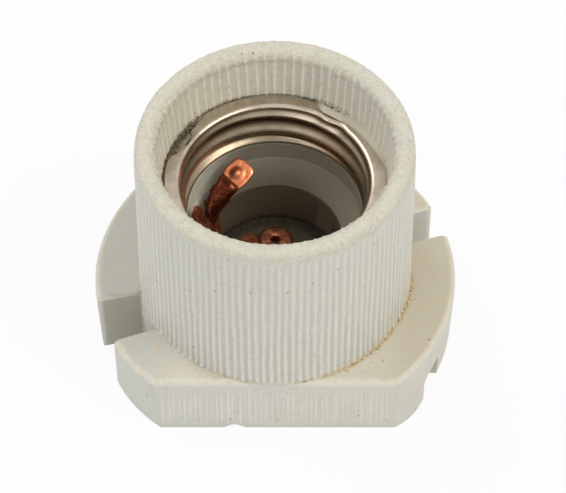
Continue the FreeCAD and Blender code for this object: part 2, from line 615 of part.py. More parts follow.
os.makedirs("parts", exist_ok=True)
for node, shape in build().items():
    piece = single_solid(shape)
    piece.exportStep(os.path.join("parts", node + ".step"))
    box = piece.BoundBox
    print("%-24s solids %d valid %s volume %9.2f  x %.2f..%.2f y %.2f..%.2f z %.2f..%.2f" % (
        node, len(piece.Solids), piece.isValid(), piece.Volume, box.XMin, box.XMax, box.YMin, box.YMax,
        box.ZMin, box.ZMax))
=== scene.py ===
# %% [markdown]
# # A porcelain lamp holder
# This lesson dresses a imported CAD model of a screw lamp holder: a ribbed ceramic barrel on a flanged
# base, a rolled thread shell, and torn copper contacts down in the well.

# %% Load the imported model
import math
import bmesh
import bpy
import numpy as np
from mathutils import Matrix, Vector


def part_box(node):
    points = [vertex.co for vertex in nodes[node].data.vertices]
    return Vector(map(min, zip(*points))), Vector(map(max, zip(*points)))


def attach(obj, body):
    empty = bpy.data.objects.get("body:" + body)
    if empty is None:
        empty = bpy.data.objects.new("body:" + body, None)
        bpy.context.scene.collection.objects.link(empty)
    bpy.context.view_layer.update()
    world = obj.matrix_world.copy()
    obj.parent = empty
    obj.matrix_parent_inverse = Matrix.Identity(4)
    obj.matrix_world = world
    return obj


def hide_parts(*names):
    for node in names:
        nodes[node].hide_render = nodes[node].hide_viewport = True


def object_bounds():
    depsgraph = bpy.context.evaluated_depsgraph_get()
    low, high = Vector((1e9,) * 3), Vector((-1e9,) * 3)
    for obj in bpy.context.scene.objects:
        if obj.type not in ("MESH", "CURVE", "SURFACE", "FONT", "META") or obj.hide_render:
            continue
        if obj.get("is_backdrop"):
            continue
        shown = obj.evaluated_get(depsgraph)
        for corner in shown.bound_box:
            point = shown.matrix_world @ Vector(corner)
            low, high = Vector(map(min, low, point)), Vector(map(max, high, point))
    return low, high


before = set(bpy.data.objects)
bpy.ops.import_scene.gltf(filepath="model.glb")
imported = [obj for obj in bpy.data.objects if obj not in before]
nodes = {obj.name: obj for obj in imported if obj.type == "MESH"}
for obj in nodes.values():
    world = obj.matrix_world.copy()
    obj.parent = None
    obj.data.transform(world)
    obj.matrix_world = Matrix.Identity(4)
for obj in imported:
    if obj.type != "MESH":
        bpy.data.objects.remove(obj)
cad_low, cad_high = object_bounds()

MM = 0.001
print("CAD nodes:", len(nodes), "box:", [round(v / MM, 1) for v in cad_high - cad_low], "mm")

# %% [markdown]
# ## Driving sizes
# Some heights and radii that the pieces share come from the boxes of the CAD nodes; the others are
# named here once, in millimetres, as is the profile of the hollow inside, which can't be read from a box.

# %% Sizes in millimetres
RIM_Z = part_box("ceramic_body")[1].z / MM - 0.06     # the rim's grit stands up to the box
COLLAR_TOP_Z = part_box("thread_shell")[1].z / MM
SHELL_LOW_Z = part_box("thread_shell")[0].z / MM
COLLAR_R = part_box("thread_shell")[1].x / MM
SHEET = 0.35                          # thickness of the shell's sheet
SHELF_Z = COLLAR_TOP_Z - SHEET
BASE_TOP_Z = 9.9
BODY_R = 19.0
RIB_COUNT, RIB_DEPTH = 118, 0.15
MOUTH_R_TOP, MOUTH_R_LOW = 15.8, 15.35
MOUTH_RIB_COUNT, MOUTH_RIB_DEPTH = 76, 0.16
RIM_ROUND_OUT, RIM_ROUND_IN = 1.1, 1.5
LEDGE_Z, CONE_TOP_Z, CONE_LOW_Z, FLOOR_Z = 23.6, 20.5, 17.7, 10.3
THROAT_R, WELL_R = 11.95, 9.35
BORE_R = 13.83
SPLIT_R, SPLIT_Z = 11.0, 9.6          # where the barrel's mesh meets the base's, inside the ceramic
SKIRT_R, SKIRT_Z = 17.9, 4.6          # the barrel's ribbed wall runs on down into the fixing slots
SLOT_TURNS = (-160.2, 22.2)           # directions of the fixing slots, in degrees
FLAT_Y, FLAT_LEAN = 19.6, 0.7 / 9.9   # each flat's distance from the axis at the floor, and its lean inwards
HIDDEN_Y = 18.6                       # behind the flats the barrel's skirt stays this near the axis
print("rim at", round(RIM_Z, 2), "shelf at", round(SHELF_Z, 2), "collar radius", round(COLLAR_R, 2))


# %% [markdown]
# ## A small language for node trees
# Shader trees and geometry trees hold the same Math nodes. `Value` wraps one socket and turns Python's
# operators into Math nodes, so `1 - mask * 0.5` reads as it is meant. `Graph.node` makes any other
# node: its type, its settings, then its inputs.

# %% Values
class Value:
    """A number in a node tree; arithmetic on it adds Math nodes."""

    def __init__(self, graph, socket):
        self.graph = graph
        self.socket = socket

    def math(self, operation, *others):
        return self.graph.node("ShaderNodeMath", {"operation": operation}, dict(enumerate((self,) + others)))

    def __add__(self, other):
        return self.math("ADD", other)

    def __sub__(self, other):
        return self.math("SUBTRACT", other)

    def __mul__(self, other):
        return self.math("MULTIPLY", other)

    def __truediv__(self, other):
        return self.math("DIVIDE", other)

    def __pow__(self, other):
        return self.math("POWER", other)

    __radd__ = __add__
    __rmul__ = __mul__

    def __rsub__(self, other):
        return self.graph.math("SUBTRACT", other, self)

    def __rtruediv__(self, other):
        return self.graph.math("DIVIDE", other, self)

    def __neg__(self):
        return self * -1.0

    def absolute(self):
        return self.math("ABSOLUTE")

    def above(self, low, high):
        """0 below low, 1 above high, with a smooth step between."""
        settings = {"interpolation_type": "SMOOTHSTEP", "clamp": True}
        inputs = {"Value": self, "From Min": low, "From Max": high}
        return self.graph.node("ShaderNodeMapRange", settings, inputs)

    def below(self, low, high):
        return 1 - self.above(low, high)

    def between(self, low, high, soft):
        return self.above(low - soft, low + soft) * self.below(high - soft, high + soft)

    def other(self, name):
        """Another output of the node that this value comes from."""
        return Value(self.graph, self.socket.node.outputs[name])


# %% Graphs
class Graph:
    """Builds nodes in one tree, left to right."""

    def __init__(self, tree):
        self.tree = tree
        self.made = 0

    def node(self, kind, settings=None, inputs=None, output=0):
        made = self.tree.nodes.new(kind)
        made.location = (180 * (self.made // 6), -190 * (self.made % 6))
        self.made += 1
        for name, setting in (settings or {}).items():
            setattr(made, name, setting)
        for name, given in (inputs or {}).items():
            if isinstance(given, Value):
                self.tree.links.new(given.socket, made.inputs[name])
            elif given is not None:
                made.inputs[name].default_value = given
        return Value(self, made.outputs[output]) if made.outputs else made

    def math(self, operation, *values):
        return self.node("ShaderNodeMath", {"operation": operation}, dict(enumerate(values)))

    def vector(self, operation, *values):
        output = 1 if operation in ("LENGTH", "DOT_PRODUCT", "DISTANCE") else 0
        return self.node("ShaderNodeVectorMath", {"operation": operation}, dict(enumerate(values)), output)

    def scaled(self, vector, factor):
        return self.node("ShaderNodeVectorMath", {"operation": "SCALE"}, {0: vector, "Scale": factor})

    def combine(self, x, y, z):
        return self.node("ShaderNodeCombineXYZ", None, {0: x, 1: y, 2: z})

    def separate(self, vector):
        x = self.node("ShaderNodeSeparateXYZ", None, {0: vector})
        return x, x.other("Y"), x.other("Z")

    def noise(self, vector, scale, detail=2.0, rough=0.5):
        settings = {"noise_dimensions": "3D"}
        return self.node("ShaderNodeTexNoise", settings,
                         {"Vector": vector, "Scale": scale, "Detail": detail, "Roughness": rough})

    def mix(self, factor, first, second):
        """A colour between two colours."""
        settings = {"data_type": "RGBA", "clamp_factor": True}
        return self.node("ShaderNodeMix", settings, {0: factor, 6: first, 7: second}, 2)


# %% Tones
def tone(red, green, blue):
    """A colour given as the eye reads it, 0 to 255, as the linear numbers that a shader takes."""
    def linear(value):
        share = value / 255
        return share / 12.92 if share <= 0.04045 else ((share + 0.055) / 1.055) ** 2.4
    return (linear(red), linear(green), linear(blue), 1.0)


print("a mid grey reads as", round(tone(128, 128, 128)[0], 3))

# %% [markdown]
# ## Camera
# The camera stands in front of the holder and looks down into the mouth, through a long lens so that
# the upright ribs stay nearly parallel.

# %% Camera
CAMERA_PLACE = (0.00109, -0.2744, 0.3780)
CAMERA_AIM = (0.0, 0.6038, -0.7971)
camera_data = bpy.data.cameras.new("studio_camera")
camera_data.lens = 208.2
camera_data.sensor_width = 36.0
camera_data.clip_start = 0.01
camera_data.clip_end = 10.0
camera = bpy.data.objects.new("studio_camera", camera_data)
camera.location = CAMERA_PLACE
camera.rotation_mode = "QUATERNION"
camera.rotation_quaternion = Vector(CAMERA_AIM).to_track_quat("-Z", "Y")
bpy.context.scene.collection.objects.link(camera)
bpy.context.scene.camera = camera
print("camera", round((Vector(CAMERA_PLACE) - Vector((0, 0, RIM_Z * MM))).length, 3), "m from the rim")

# %% [markdown]
# ## Studio
# A pale tent of light: the world gives most of it, and three large lamps add soft highlights on the
# metal. Camera, glossy and transmission rays see plain white, so the backdrop is white and the metal
# shows it, while the light on the object keeps its level. The floor is clear from below, and for the
# short rays that leave the base's own underside, so that side is lit too when it is looked at.

# %% World
WORLD_LEVEL = 0.60
bpy.context.scene.view_settings.view_transform = "Standard"


def seen_directly(graph):
    """1 for rays from the camera, a mirror or a clear body, 0 for rays that carry light to a surface."""
    path = graph.node("ShaderNodeLightPath", output="Is Camera Ray")
    seen = graph.math("MAXIMUM", path, path.other("Is Glossy Ray"))
    return graph.math("MAXIMUM", seen, path.other("Is Transmission Ray"))


def make_world():
    world = bpy.data.worlds.new("light_tent")
    world.use_nodes = True
    world.node_tree.nodes.clear()
    graph = Graph(world.node_tree)
    lit = graph.node("ShaderNodeBackground", None, {"Color": (0.965, 0.985, 1.0, 1), "Strength": WORLD_LEVEL})
    plain = graph.node("ShaderNodeBackground", None, {"Color": (1, 1, 1, 1), "Strength": 1.0})
    both = graph.node("ShaderNodeMixShader", None, {0: seen_directly(graph), 1: lit, 2: plain})
    graph.node("ShaderNodeOutputWorld", None, {"Surface": both})
    bpy.context.scene.world = world
    return world


print("world:", make_world().name, "at level", WORLD_LEVEL)

# %% Floor
FLOOR_WHITE = 0.9                      # share of the floor's look that is plain white to the camera
FLOOR_SIZE = 4.0
STAGE_Z = -0.02 * MM                   # a little under the base, so that the two never coincide
SHORT_RAY = 1.0 * MM


def make_floor():
    mesh = bpy.data.meshes.new("studio_floor")
    half = FLOOR_SIZE / 2
    corners = [(-half, -half, STAGE_Z), (half, -half, STAGE_Z), (half, half, STAGE_Z), (-half, half, STAGE_Z)]
    mesh.from_pydata(corners, [], [(0, 1, 2, 3)])
    floor = bpy.data.objects.new("studio_floor", mesh)
    bpy.context.scene.collection.objects.link(floor)
    paint = bpy.data.materials.new("floor_paint")
    paint.use_nodes = True
    paint.node_tree.nodes.clear()
    graph = Graph(paint.node_tree)
    matt = graph.node("ShaderNodeBsdfDiffuse", None, {"Color": (0.8, 0.8, 0.8, 1)})
    white = graph.node("ShaderNodeEmission", None, {"Color": (1, 1, 1, 1), "Strength": 1.0})
    bright = seen_directly(graph) * FLOOR_WHITE
    painted = graph.node("ShaderNodeMixShader", None, {0: bright, 1: matt, 2: white})
    clear = graph.node("ShaderNodeBsdfTransparent")
    under = graph.node("ShaderNodeNewGeometry", output="Backfacing")
    length = graph.node("ShaderNodeLightPath", output="Ray Length")
    near = length.below(SHORT_RAY, 1.5 * SHORT_RAY) * (1 - length.other("Is Camera Ray"))
    open_here = 1 - (1 - under) * (1 - near)
    surface = graph.node("ShaderNodeMixShader", None, {0: open_here, 1: painted, 2: clear})
    graph.node("ShaderNodeOutputMaterial", None, {"Surface": surface})
    mesh.materials.append(paint)
    floor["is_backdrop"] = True
    return floor


print("floor:", make_floor().name, FLOOR_SIZE, "m across")


# %% Lamps
def make_lamp(name, place, size, watts, colour=(1, 1, 1)):
    data = bpy.data.lights.new(name, "AREA")
    data.energy = watts
    data.color = colour
    data.size = size
    lamp = bpy.data.objects.new(name, data)
    lamp.location = place
    lamp.rotation_mode = "QUATERNION"
    lamp.rotation_quaternion = (-Vector(place)).to_track_quat("-Z", "Y")
    bpy.context.scene.collection.objects.link(lamp)


make_lamp("key_at_right", (0.50, -0.20, 0.72), 0.45, 3.0, (1.0, 0.965, 0.90))
make_lamp("soft_box_left", (-0.42, 0.38, 0.72), 0.35, 1.9)
make_lamp("front_fill", (-0.60, -0.70, 0.45), 0.8, 2.1, (0.96, 0.98, 1.0))

# %% [markdown]
# ## Mesh helpers
# A turned piece is a closed profile carried round the axis. The profile is a list of radius and
# height, each row can move with the angle, and the rows close on themselves, so the piece is solid.

# %% Turned pieces
CREASE = math.radians(42)


def arc_points(centre, radius, start, end, count):
    """Points of an arc in a profile, angles in degrees, both ends included."""
    angles = np.radians(np.linspace(start, end, count))
    return [(centre[0] + radius * math.cos(a), centre[1] + radius * math.sin(a)) for a in angles]


def run_points(start, end, count):
    """Points of a straight run in a profile, without its start."""
    return [(start[0] + (end[0] - start[0]) * k / count, start[1] + (end[1] - start[1]) * k / count)
            for k in range(1, count + 1)]


# %% Objects from points
def make_object(name, verts, faces, crease=CREASE):
    """A closed mesh in millimetres, with its faces turned outwards and its corners creased."""
    mesh = bpy.data.meshes.new(name)
    mesh.from_pydata([tuple(v) for v in np.asarray(verts, float) * MM], [], faces)
    shape = bmesh.new()
    shape.from_mesh(mesh)
    bmesh.ops.recalc_face_normals(shape, faces=shape.faces)
    shape.to_mesh(mesh)
    shape.free()
    mesh.shade_smooth()
    mesh.set_sharp_from_angle(angle=crease)
    made = bpy.data.objects.new(name, mesh)
    bpy.context.scene.collection.objects.link(made)
    return made


def smooth_step(values):
    t = np.clip(values, 0, 1)
    return t * t * (3 - 2 * t)


def bump_at(degrees, centre, half_width):
    """1 at centre and 0 beyond half_width, in degrees round the axis."""
    away = (degrees - centre + 180) % 360 - 180
    return smooth_step(1 - np.abs(away) / half_width)


# %% Turning a profile
def turned_faces(rows, columns):
    """Faces between rows of points round the axis; the last row joins the first."""
    faces = []
    for i in range(rows):
        for j in range(columns):
            i2, j2 = (i + 1) % rows, (j + 1) % columns
            faces.append((i * columns + j, i * columns + j2, i2 * columns + j2, i2 * columns + j))
    return faces


def make_turned(name, profile, columns, moved=None):
    """Carry a closed profile round the axis; moved(radius, height, angle) may shift a whole row."""
    angles = np.linspace(0, 2 * math.pi, columns, endpoint=False)
    rows = []
    for row, (radius, height) in enumerate(profile):
        r, z = np.full(columns, radius), np.full(columns, height)
        if moved:
            r, z = moved(row, r, z, angles)
        rows.append(np.stack([r * np.cos(angles), r * np.sin(angles), z], 1))
    return make_object(name, np.concatenate(rows), turned_faces(len(profile), columns))


# %% [markdown]
# ## Ceramic barrel
# The barrel was pressed in a mould whose wall was scored with upright lines. It is turned here with
# nine columns to a rib, first quite smooth; the ribs come next, as a rule that a geometry tree applies.

# %% Barrel
COLUMNS = RIB_COUNT * 9
OUTER_ROWS, MOUTH_ROWS = 22, 16


def barrel_profile():
    outer = BODY_R - RIB_DEPTH
    mouth = MOUTH_R_TOP + MOUTH_RIB_DEPTH * 0.7
    round_out_z, round_in_z = RIM_Z - RIM_ROUND_OUT, RIM_Z - RIM_ROUND_IN
    rim_in_r = mouth + RIM_ROUND_IN
    low = outer + 0.12                 # in the slots the wall closes the gap left by the cut in the base
    profile = [(low, SKIRT_Z)] + run_points((low, SKIRT_Z), (low, BASE_TOP_Z - 0.1), 5)
    profile += [(outer, BASE_TOP_Z + 0.02), (outer, BASE_TOP_Z + 0.15), (outer, BASE_TOP_Z + 0.35),
                (outer, BASE_TOP_Z + 0.7)]
    profile += run_points(profile[-1], (outer, round_out_z - 1.6), OUTER_ROWS)
    profile += run_points(profile[-1], (outer, round_out_z - 0.15), 5)
    profile += arc_points((outer - RIM_ROUND_OUT, round_out_z), RIM_ROUND_OUT, 0, 90, 9)
    profile += run_points(profile[-1], (rim_in_r, RIM_Z), 2)
    profile += arc_points((rim_in_r, round_in_z), RIM_ROUND_IN, 97, 180, 11)
    profile += run_points(profile[-1], (mouth - 0.05, round_in_z - 1.2), 6)
    profile += run_points(profile[-1], (MOUTH_R_LOW, SHELF_Z), MOUTH_ROWS - 6)
    profile += [(BORE_R, SHELF_Z), (BORE_R, LEDGE_Z), (THROAT_R, LEDGE_Z), (THROAT_R, CONE_TOP_Z + 0.4),
                (THROAT_R - 0.12, CONE_TOP_Z), (THROAT_R - 0.5, CONE_TOP_Z - 0.5), (WELL_R, CONE_LOW_Z),
                (SPLIT_R, CONE_LOW_Z), (SPLIT_R, SPLIT_Z), (SKIRT_R, SPLIT_Z), (SKIRT_R, SKIRT_Z)]
    return profile


# %% Barrel's foot, and the barrel
def soft_foot(row, radius, height, angles):
    """A small uneven fillet where the barrel stands on the base, left out in the slots."""
    degrees = np.degrees(angles)
    open_slot = sum(bump_at(degrees, turn, 16) for turn in SLOT_TURNS)
    uneven = 0.75 + 0.25 * np.sin(angles * 17 + 1) * np.sin(angles * 41)
    near = np.clip(1 - (height - BASE_TOP_Z) / 0.6, 0, 1) ** 2
    low = (height > BASE_TOP_Z - 0.05) & (radius > BODY_R - 1)
    radius = radius + np.where(low, near * uneven * 0.32 * (1 - np.clip(open_slot * 3, 0, 1)), 0)
    below = (height < BASE_TOP_Z) & (radius > BODY_R - 1)
    hidden = np.minimum(radius, HIDDEN_Y / np.maximum(np.abs(np.sin(angles)), 0.5))
    return np.where(below, hidden, radius), height


barrel = make_turned("ceramic_barrel", barrel_profile(), COLUMNS, soft_foot)
print("barrel:", len(barrel.data.polygons), "faces")


# %% [markdown]
# ## Running a geometry tree
# `grow` gives an object a tree as a modifier, sets the tree's named inputs by their sockets'
# identifiers, and keeps the result as a plain mesh.

# %% Geometry tree helpers
class GeometryGraph(Graph):
    """A geometry tree with named inputs, whose result is realized and gets a material."""

    def __init__(self, name, **inputs):
        tree = bpy.data.node_groups.new(name, "GeometryNodeTree")
        super().__init__(tree)
        tree.interface.new_socket("Geometry", in_out="OUTPUT", socket_type="NodeSocketGeometry")
        tree.interface.new_socket("Geometry", in_out="INPUT", socket_type="NodeSocketGeometry")
        for label, default in inputs.items():
            kind = "NodeSocketInt" if isinstance(default, int) else "NodeSocketFloat"
            socket = tree.interface.new_socket(label, in_out="INPUT", socket_type=kind)
            socket.default_value = default
        self.given = self.node("NodeGroupInput")

    def named(self, label):
        return self.given.other(label)

    def place(self):
        """The point's place in millimetres, its three coordinates, its radius and its angle."""
        place = self.scaled(self.node("GeometryNodeInputPosition"), 1 / MM)
        x, y, z = self.separate(place)
        return place, x, y, z, (x * x + y * y) ** 0.5, self.math("ARCTAN2", y, x)

    def finish(self, geometry, material):
        real = self.node("GeometryNodeRealizeInstances", None, {0: geometry})
        painted = self.node("GeometryNodeSetMaterial", None, {"Geometry": real, "Material": material})
        self.node("NodeGroupOutput", None, {0: painted})


# %% Growing a piece
def grow(piece, graph, **sizes):
    """Run a tree on a piece and keep what it makes as the piece's own mesh."""
    modifier = piece.modifiers.new(graph.tree.name, "NODES")
    modifier.node_group = graph.tree
    for item in graph.tree.interface.items_tree:
        if item.in_out == "INPUT" and item.name in sizes:
            modifier[item.identifier] = sizes[item.name]
    depsgraph = bpy.context.evaluated_depsgraph_get()
    mesh = bpy.data.meshes.new_from_object(piece.evaluated_get(depsgraph), depsgraph=depsgraph)
    piece.modifiers.remove(modifier)
    old = piece.data
    piece.data = mesh
    bpy.data.meshes.remove(old)
    mesh.name = piece.name
    return piece


# %% [markdown]
# ## Finishes: fired clay
# One recipe serves both ceramic pieces. Its colour is a warm pale grey that drifts in large patches,
# yellower and grainier on the rim, browner on the flange's top, greyer on the flats. Light and shade
# are painted in too: a cooler grey towards the left, the barrel's painted shadow on the flange's left,
# darker olive painted shade in the left slot and in the well, a painted lit wall on the left inside,
# painted shade in the gap round the collar, and painted highlights on the mould lines and, with worn
# glaze, on the base's rounded edges. Iron specks are the rare cells of a cell pattern. The geometry
# tree leaves a "ridge" value on the ribs, which paints a highlight on their crests, and a "groove"
# value, which paints shade in their grooves.

# %% Surface helpers
class Finish(Graph):
    """A material with one Principled shader and Object coordinates in millimetres."""

    def __init__(self, name, **fixed):
        self.material = bpy.data.materials.new(name)
        self.material.use_nodes = True
        self.material.node_tree.nodes.clear()
        super().__init__(self.material.node_tree)
        self.fixed = {key.replace("_", " ").title(): value for key, value in fixed.items()}
        self.place = self.scaled(self.node("ShaderNodeTexCoord", output="Object"), 1 / MM)
        self.x, self.y, self.z = self.separate(self.place)
        self.r = (self.x * self.x + self.y * self.y) ** 0.5

    def stretched(self, x, y, z):
        """The place with each axis scaled by its own number."""
        return self.vector("MULTIPLY", self.place, (x, y, z))

    def specks(self, scale, size, rarity):
        """1 in the middle of the few cells whose random number is under rarity."""
        cell = self.node("ShaderNodeTexVoronoi", None, {"Vector": self.place, "Scale": scale}, "Distance")
        picked = self.separate(cell.other("Color"))[0]
        return cell.below(size * 0.6, size) * picked.below(rarity - 0.01, rarity)

    def bump(self, height, distance, strength=1.0, under=None):
        """A normal from a height; distance is in millimetres."""
        inputs = {"Height": height, "Distance": distance * MM, "Strength": strength}
        if under:
            inputs["Normal"] = under
        return self.node("ShaderNodeBump", None, inputs)

    def done(self, **varied):
        inputs = dict(self.fixed)
        inputs.update({key.replace("_", " ").title(): value for key, value in varied.items()})
        shader = self.node("ShaderNodeBsdfPrincipled", None, inputs)
        self.node("ShaderNodeOutputMaterial", None, {"Surface": shader})
        return self.material


# %% Clay tones
CLAY = tone(213, 210, 200)
CLAY_WARM = tone(214, 207, 188)
# painted shade: a cooler grey for the side away from the warm key light
CLAY_COOL_SHADE = tone(200, 201, 196)
# painted highlight for the crests of the ribs and the mould lines
CLAY_CREST_HIGHLIGHT = tone(234, 229, 212)
# painted shade for the grooves between the ribs
CLAY_GROOVE_SHADE = tone(178, 177, 170)
CLAY_RIM = tone(228, 222, 203)
# painted shade for the recess of the left fixing slot
CLAY_SLOT_SHADE = tone(158, 151, 134)
# painted shade for the hollow inside, and darker for deep in the well
CLAY_WELL_SHADE = tone(138, 131, 111)
CLAY_DEEP_SHADE = tone(110, 101, 83)
IRON = tone(170, 114, 68)
OCHRE = tone(196, 160, 108)
# dark soot for specks, and painted shade for the gap round the collar
SOOT_AND_GAP_SHADE = tone(96, 82, 62)
print("clay as a shader takes it:", [round(share, 2) for share in CLAY[:3]])


# %% Clay zones
def clay_zones(clay):
    """The places where the ceramic differs, as masks."""
    wide = clay.r.above(BODY_R - 0.05, BODY_R + 0.1)
    across = (clay.y * math.cos(math.radians(20)) - clay.x * math.sin(math.radians(20))).absolute()
    slot = across.below(4.2, 4.6) * clay.z.below(BASE_TOP_Z - 0.7, BASE_TOP_Z - 0.35)
    slot = slot * clay.r.below(24.2, 24.8) * clay.r.above(BODY_R + 0.1, BODY_R + 0.4)
    inside = clay.r.below(BORE_R, BORE_R + 0.5) * clay.z.below(SHELF_Z - 1, SHELF_Z)
    inside = inside * clay.z.above(FLOOR_Z - 0.3, FLOOR_Z - 0.1)
    lean = clay.separate(clay.node("ShaderNodeNewGeometry", output="Normal"))[2]
    flat_y = clay.y.absolute() + clay.z * FLAT_LEAN - FLAT_Y
    return {"rim": clay.z.above(RIM_Z - 2.0, RIM_Z - 0.9),
            "flange": clay.z.between(BASE_TOP_Z - 0.3, BASE_TOP_Z + 0.1, 0.12) * wide,
            "edge": lean.between(0.12, 0.93, 0.06) * clay.z.between(BASE_TOP_Z - 1.4, BASE_TOP_Z, 0.1) * wide,
            "bead": flat_y.above(0.005, 0.035) * clay.z.below(BASE_TOP_Z - 0.8, BASE_TOP_Z - 0.4) * wide,
            "slot": slot,
            "mouth": clay.r.below(16.4, 16.8) * clay.z.above(SHELF_Z - 0.1, SHELF_Z),
            "inside": inside,
            "deep": inside * clay.z.below(CONE_LOW_Z - 0.9, CONE_LOW_Z + 0.1)}


# %% Clay colour
def clay_colour(clay, zones, patches, grain):
    """The clay's colour: patches, ribs and each zone's tone, with painted highlights and painted shade in
    places.
    """
    ridge = clay.node("ShaderNodeAttribute", {"attribute_name": "ridge"}, output="Fac")
    groove = clay.node("ShaderNodeAttribute", {"attribute_name": "groove"}, output="Fac")
    colour = clay.mix(patches.above(0.35, 0.7) * 0.5, CLAY, CLAY_WARM)
    # painted shade: cooler and greyer from right to left, where the cool fill light falls
    colour = clay.mix(clay.x.below(-16.0, 14.0) * 0.45, colour, CLAY_COOL_SHADE)
    # painted shade in the rib grooves, then a painted highlight on their crests
    colour = clay.mix(groove * 0.8, colour, CLAY_GROOVE_SHADE)
    colour = clay.mix(ridge * (grain * 0.8 + 0.35), colour, CLAY_CREST_HIGHLIGHT)
    colour = clay.mix(zones["flange"] * clay.x.above(-22.0, -8.0) * 0.75, colour, CLAY_WARM)
    # painted shadow of the barrel: greyer and darker on the left of the flange's top
    colour = clay.mix(zones["flange"] * clay.x.below(-20.0, -12.0) * 0.8, colour, tone(188, 188, 178))
    colour = clay.mix(zones["flange"] * clay.x.above(12.0, 20.0) * 0.7, colour, tone(192, 182, 156))
    # worn glaze and a painted highlight: lighter cream where the base's top edges round over
    colour = clay.mix(zones["edge"] * (grain * 0.5 + 0.30), colour, tone(226, 220, 203))
    # painted highlight on the mould lines that stand proud of the flats
    colour = clay.mix(zones["bead"] * (grain * 0.6 + 0.25), colour, CLAY_CREST_HIGHLIGHT)
    colour = clay.mix(zones["rim"] * 0.9, colour, CLAY_RIM)
    # painted shade in the left fixing slot's recess
    colour = clay.mix(zones["slot"] * clay.x.below(-2.0, 2.0) * 0.65, colour, CLAY_SLOT_SHADE)
    between_ribs = zones["mouth"] * (1 - ridge)
    colour = clay.mix(between_ribs * 0.7, colour, tone(230, 224, 207))
    colour = clay.mix(between_ribs * clay.x.below(-14.0, 2.0) * 0.5, colour, tone(230, 220, 190))
    # painted highlight on the crests of the mouth's ribs
    colour = clay.mix(zones["mouth"] * ridge * 0.9, colour, tone(252, 248, 234))
    # painted light: the left wall inside is lighter, as lit by the key light from the right
    colour = clay.mix(zones["inside"] * clay.x.below(-9.0, -4.0) * 0.6, colour, tone(232, 228, 206))
    # painted shade: darker olive inside, except on the lit left
    colour = clay.mix(zones["inside"] * clay.x.above(-12.0, -3.0) * 0.9, colour, CLAY_WELL_SHADE)
    # painted shade on the cone, left lighter at the right
    cone = zones["inside"] * clay.z.below(CONE_LOW_Z, CONE_TOP_Z + 0.6)
    colour = clay.mix(cone * clay.x.below(2.0, 9.0) * 0.8, colour, tone(100, 92, 74))
    # painted shade, darkest down in the well
    colour = clay.mix(zones["deep"] * 0.92, colour, CLAY_DEEP_SHADE)
    band = zones["inside"] * clay.z.between(CONE_TOP_Z - 0.05, CONE_TOP_Z + 0.30, 0.08)
    colour = clay.mix(band * 0.35, colour, tone(190, 182, 160))
    # painted shade, darker still near the well's floor
    bottom = zones["deep"] * clay.z.below(FLOOR_Z + 0.2, FLOOR_Z + 0.6)
    return clay.mix(bottom * 0.55, colour, tone(70, 60, 46))


# %% Clay dirt
def clay_dirt(clay, colour, zones, grain, fine):
    """Stains, dust and iron specks over the clay's own colour, with painted shade in the gap round the collar
    and, with settled dirt, in the well's corner.
    """
    foot = clay.r.between(BODY_R - 0.1, BODY_R + 0.42, 0.14) * clay.z.between(9.0, BASE_TOP_Z + 0.4, 0.2)
    stain = foot * clay.x.above(2.0, 8.0) * clay.y.below(4.0, 8.0) * grain.above(0.25, 0.6)
    colour = clay.mix(stain * 0.6, colour, tone(208, 178, 124))
    outside = 1 - zones["inside"]
    mottle = clay.noise(clay.place, 0.9, 3.0, 0.7)
    top = zones["flange"] + zones["edge"] * 0.6
    rusty = top * mottle.above(0.46, 0.66) * (clay.x.below(-20.0, -6.0) * 0.10 + 0.26)
    colour = clay.mix(rusty, colour, tone(206, 184, 142))
    colour = clay.mix(outside * mottle.below(0.34, 0.47) * 0.30, colour, tone(186, 184, 172))
    # the seat where the collar sits in the mouth, darker at the left and at the dent: dirt and painted shade
    # in the gap
    seat = clay.r.above(14.6, 15.2) * clay.r.below(15.6, 15.8)
    seat = seat * clay.z.between(SHELF_Z - 0.2, SHELF_Z + 0.7, 0.2)
    where = clay.x.below(-9.0, -3.0) + clay.x.above(4.0, 8.0) * clay.y.above(9.0, 12.0)
    colour = clay.mix(seat * where * grain.above(0.42, 0.6) * 0.6, colour, SOOT_AND_GAP_SHADE)
    shelf = clay.z.below(SHELF_Z + 0.1, SHELF_Z + 0.3) * clay.z.above(SHELF_Z - 0.3, SHELF_Z - 0.1)
    shelf = shelf * clay.r.between(13.5, 15.6, 0.2)
    colour = clay.mix(shelf * clay.x.above(5.5, 6.5) * 0.8, colour, tone(206, 198, 176))
    # painted shade on the shelf under the collar, except at the right, so it reads as a dark gap
    colour = clay.mix(shelf * clay.x.below(5.5, 6.5) * 0.8, colour, SOOT_AND_GAP_SHADE)
    # darker where the well's floor meets its wall: settled dirt and painted shade in the corner
    corner = clay.z.below(FLOOR_Z + 0.1, FLOOR_Z + 1.3) * clay.r.above(7.2, 8.6)
    settled = zones["deep"] * corner * (grain.above(0.35, 0.6) * 0.6 + 0.4)
    colour = clay.mix(settled * 0.8, colour, tone(44, 36, 28))
    colour = clay.mix(clay.specks(0.62, 0.13, 0.24) * 0.85, colour, IRON)
    colour = clay.mix(outside * clay.specks(0.9, 0.19, 0.15) * 0.50, colour, OCHRE)
    colour = clay.mix(outside * clay.specks(1.6, 0.16, 0.16) * 0.5, colour, tone(176, 150, 118))
    colour = clay.mix(clay.specks(1.3, 0.10, 0.10) * 0.7, colour, SOOT_AND_GAP_SHADE)
    colour = clay.mix(outside * grain.below(0.3, 0.48) * 0.28, colour, tone(196, 190, 172))
    granules = clay.noise(clay.place, 2.6, 2.0, 0.55)
    colour = clay.mix(zones["rim"] * granules.above(0.50, 0.60) * 0.38, colour, tone(238, 234, 217))
    colour = clay.mix(zones["rim"] * granules.below(0.36, 0.46) * 0.24, colour, tone(202, 193, 166))
    return clay.mix(outside * fine.above(0.52, 0.75) * 0.30, colour, tone(234, 230, 218))


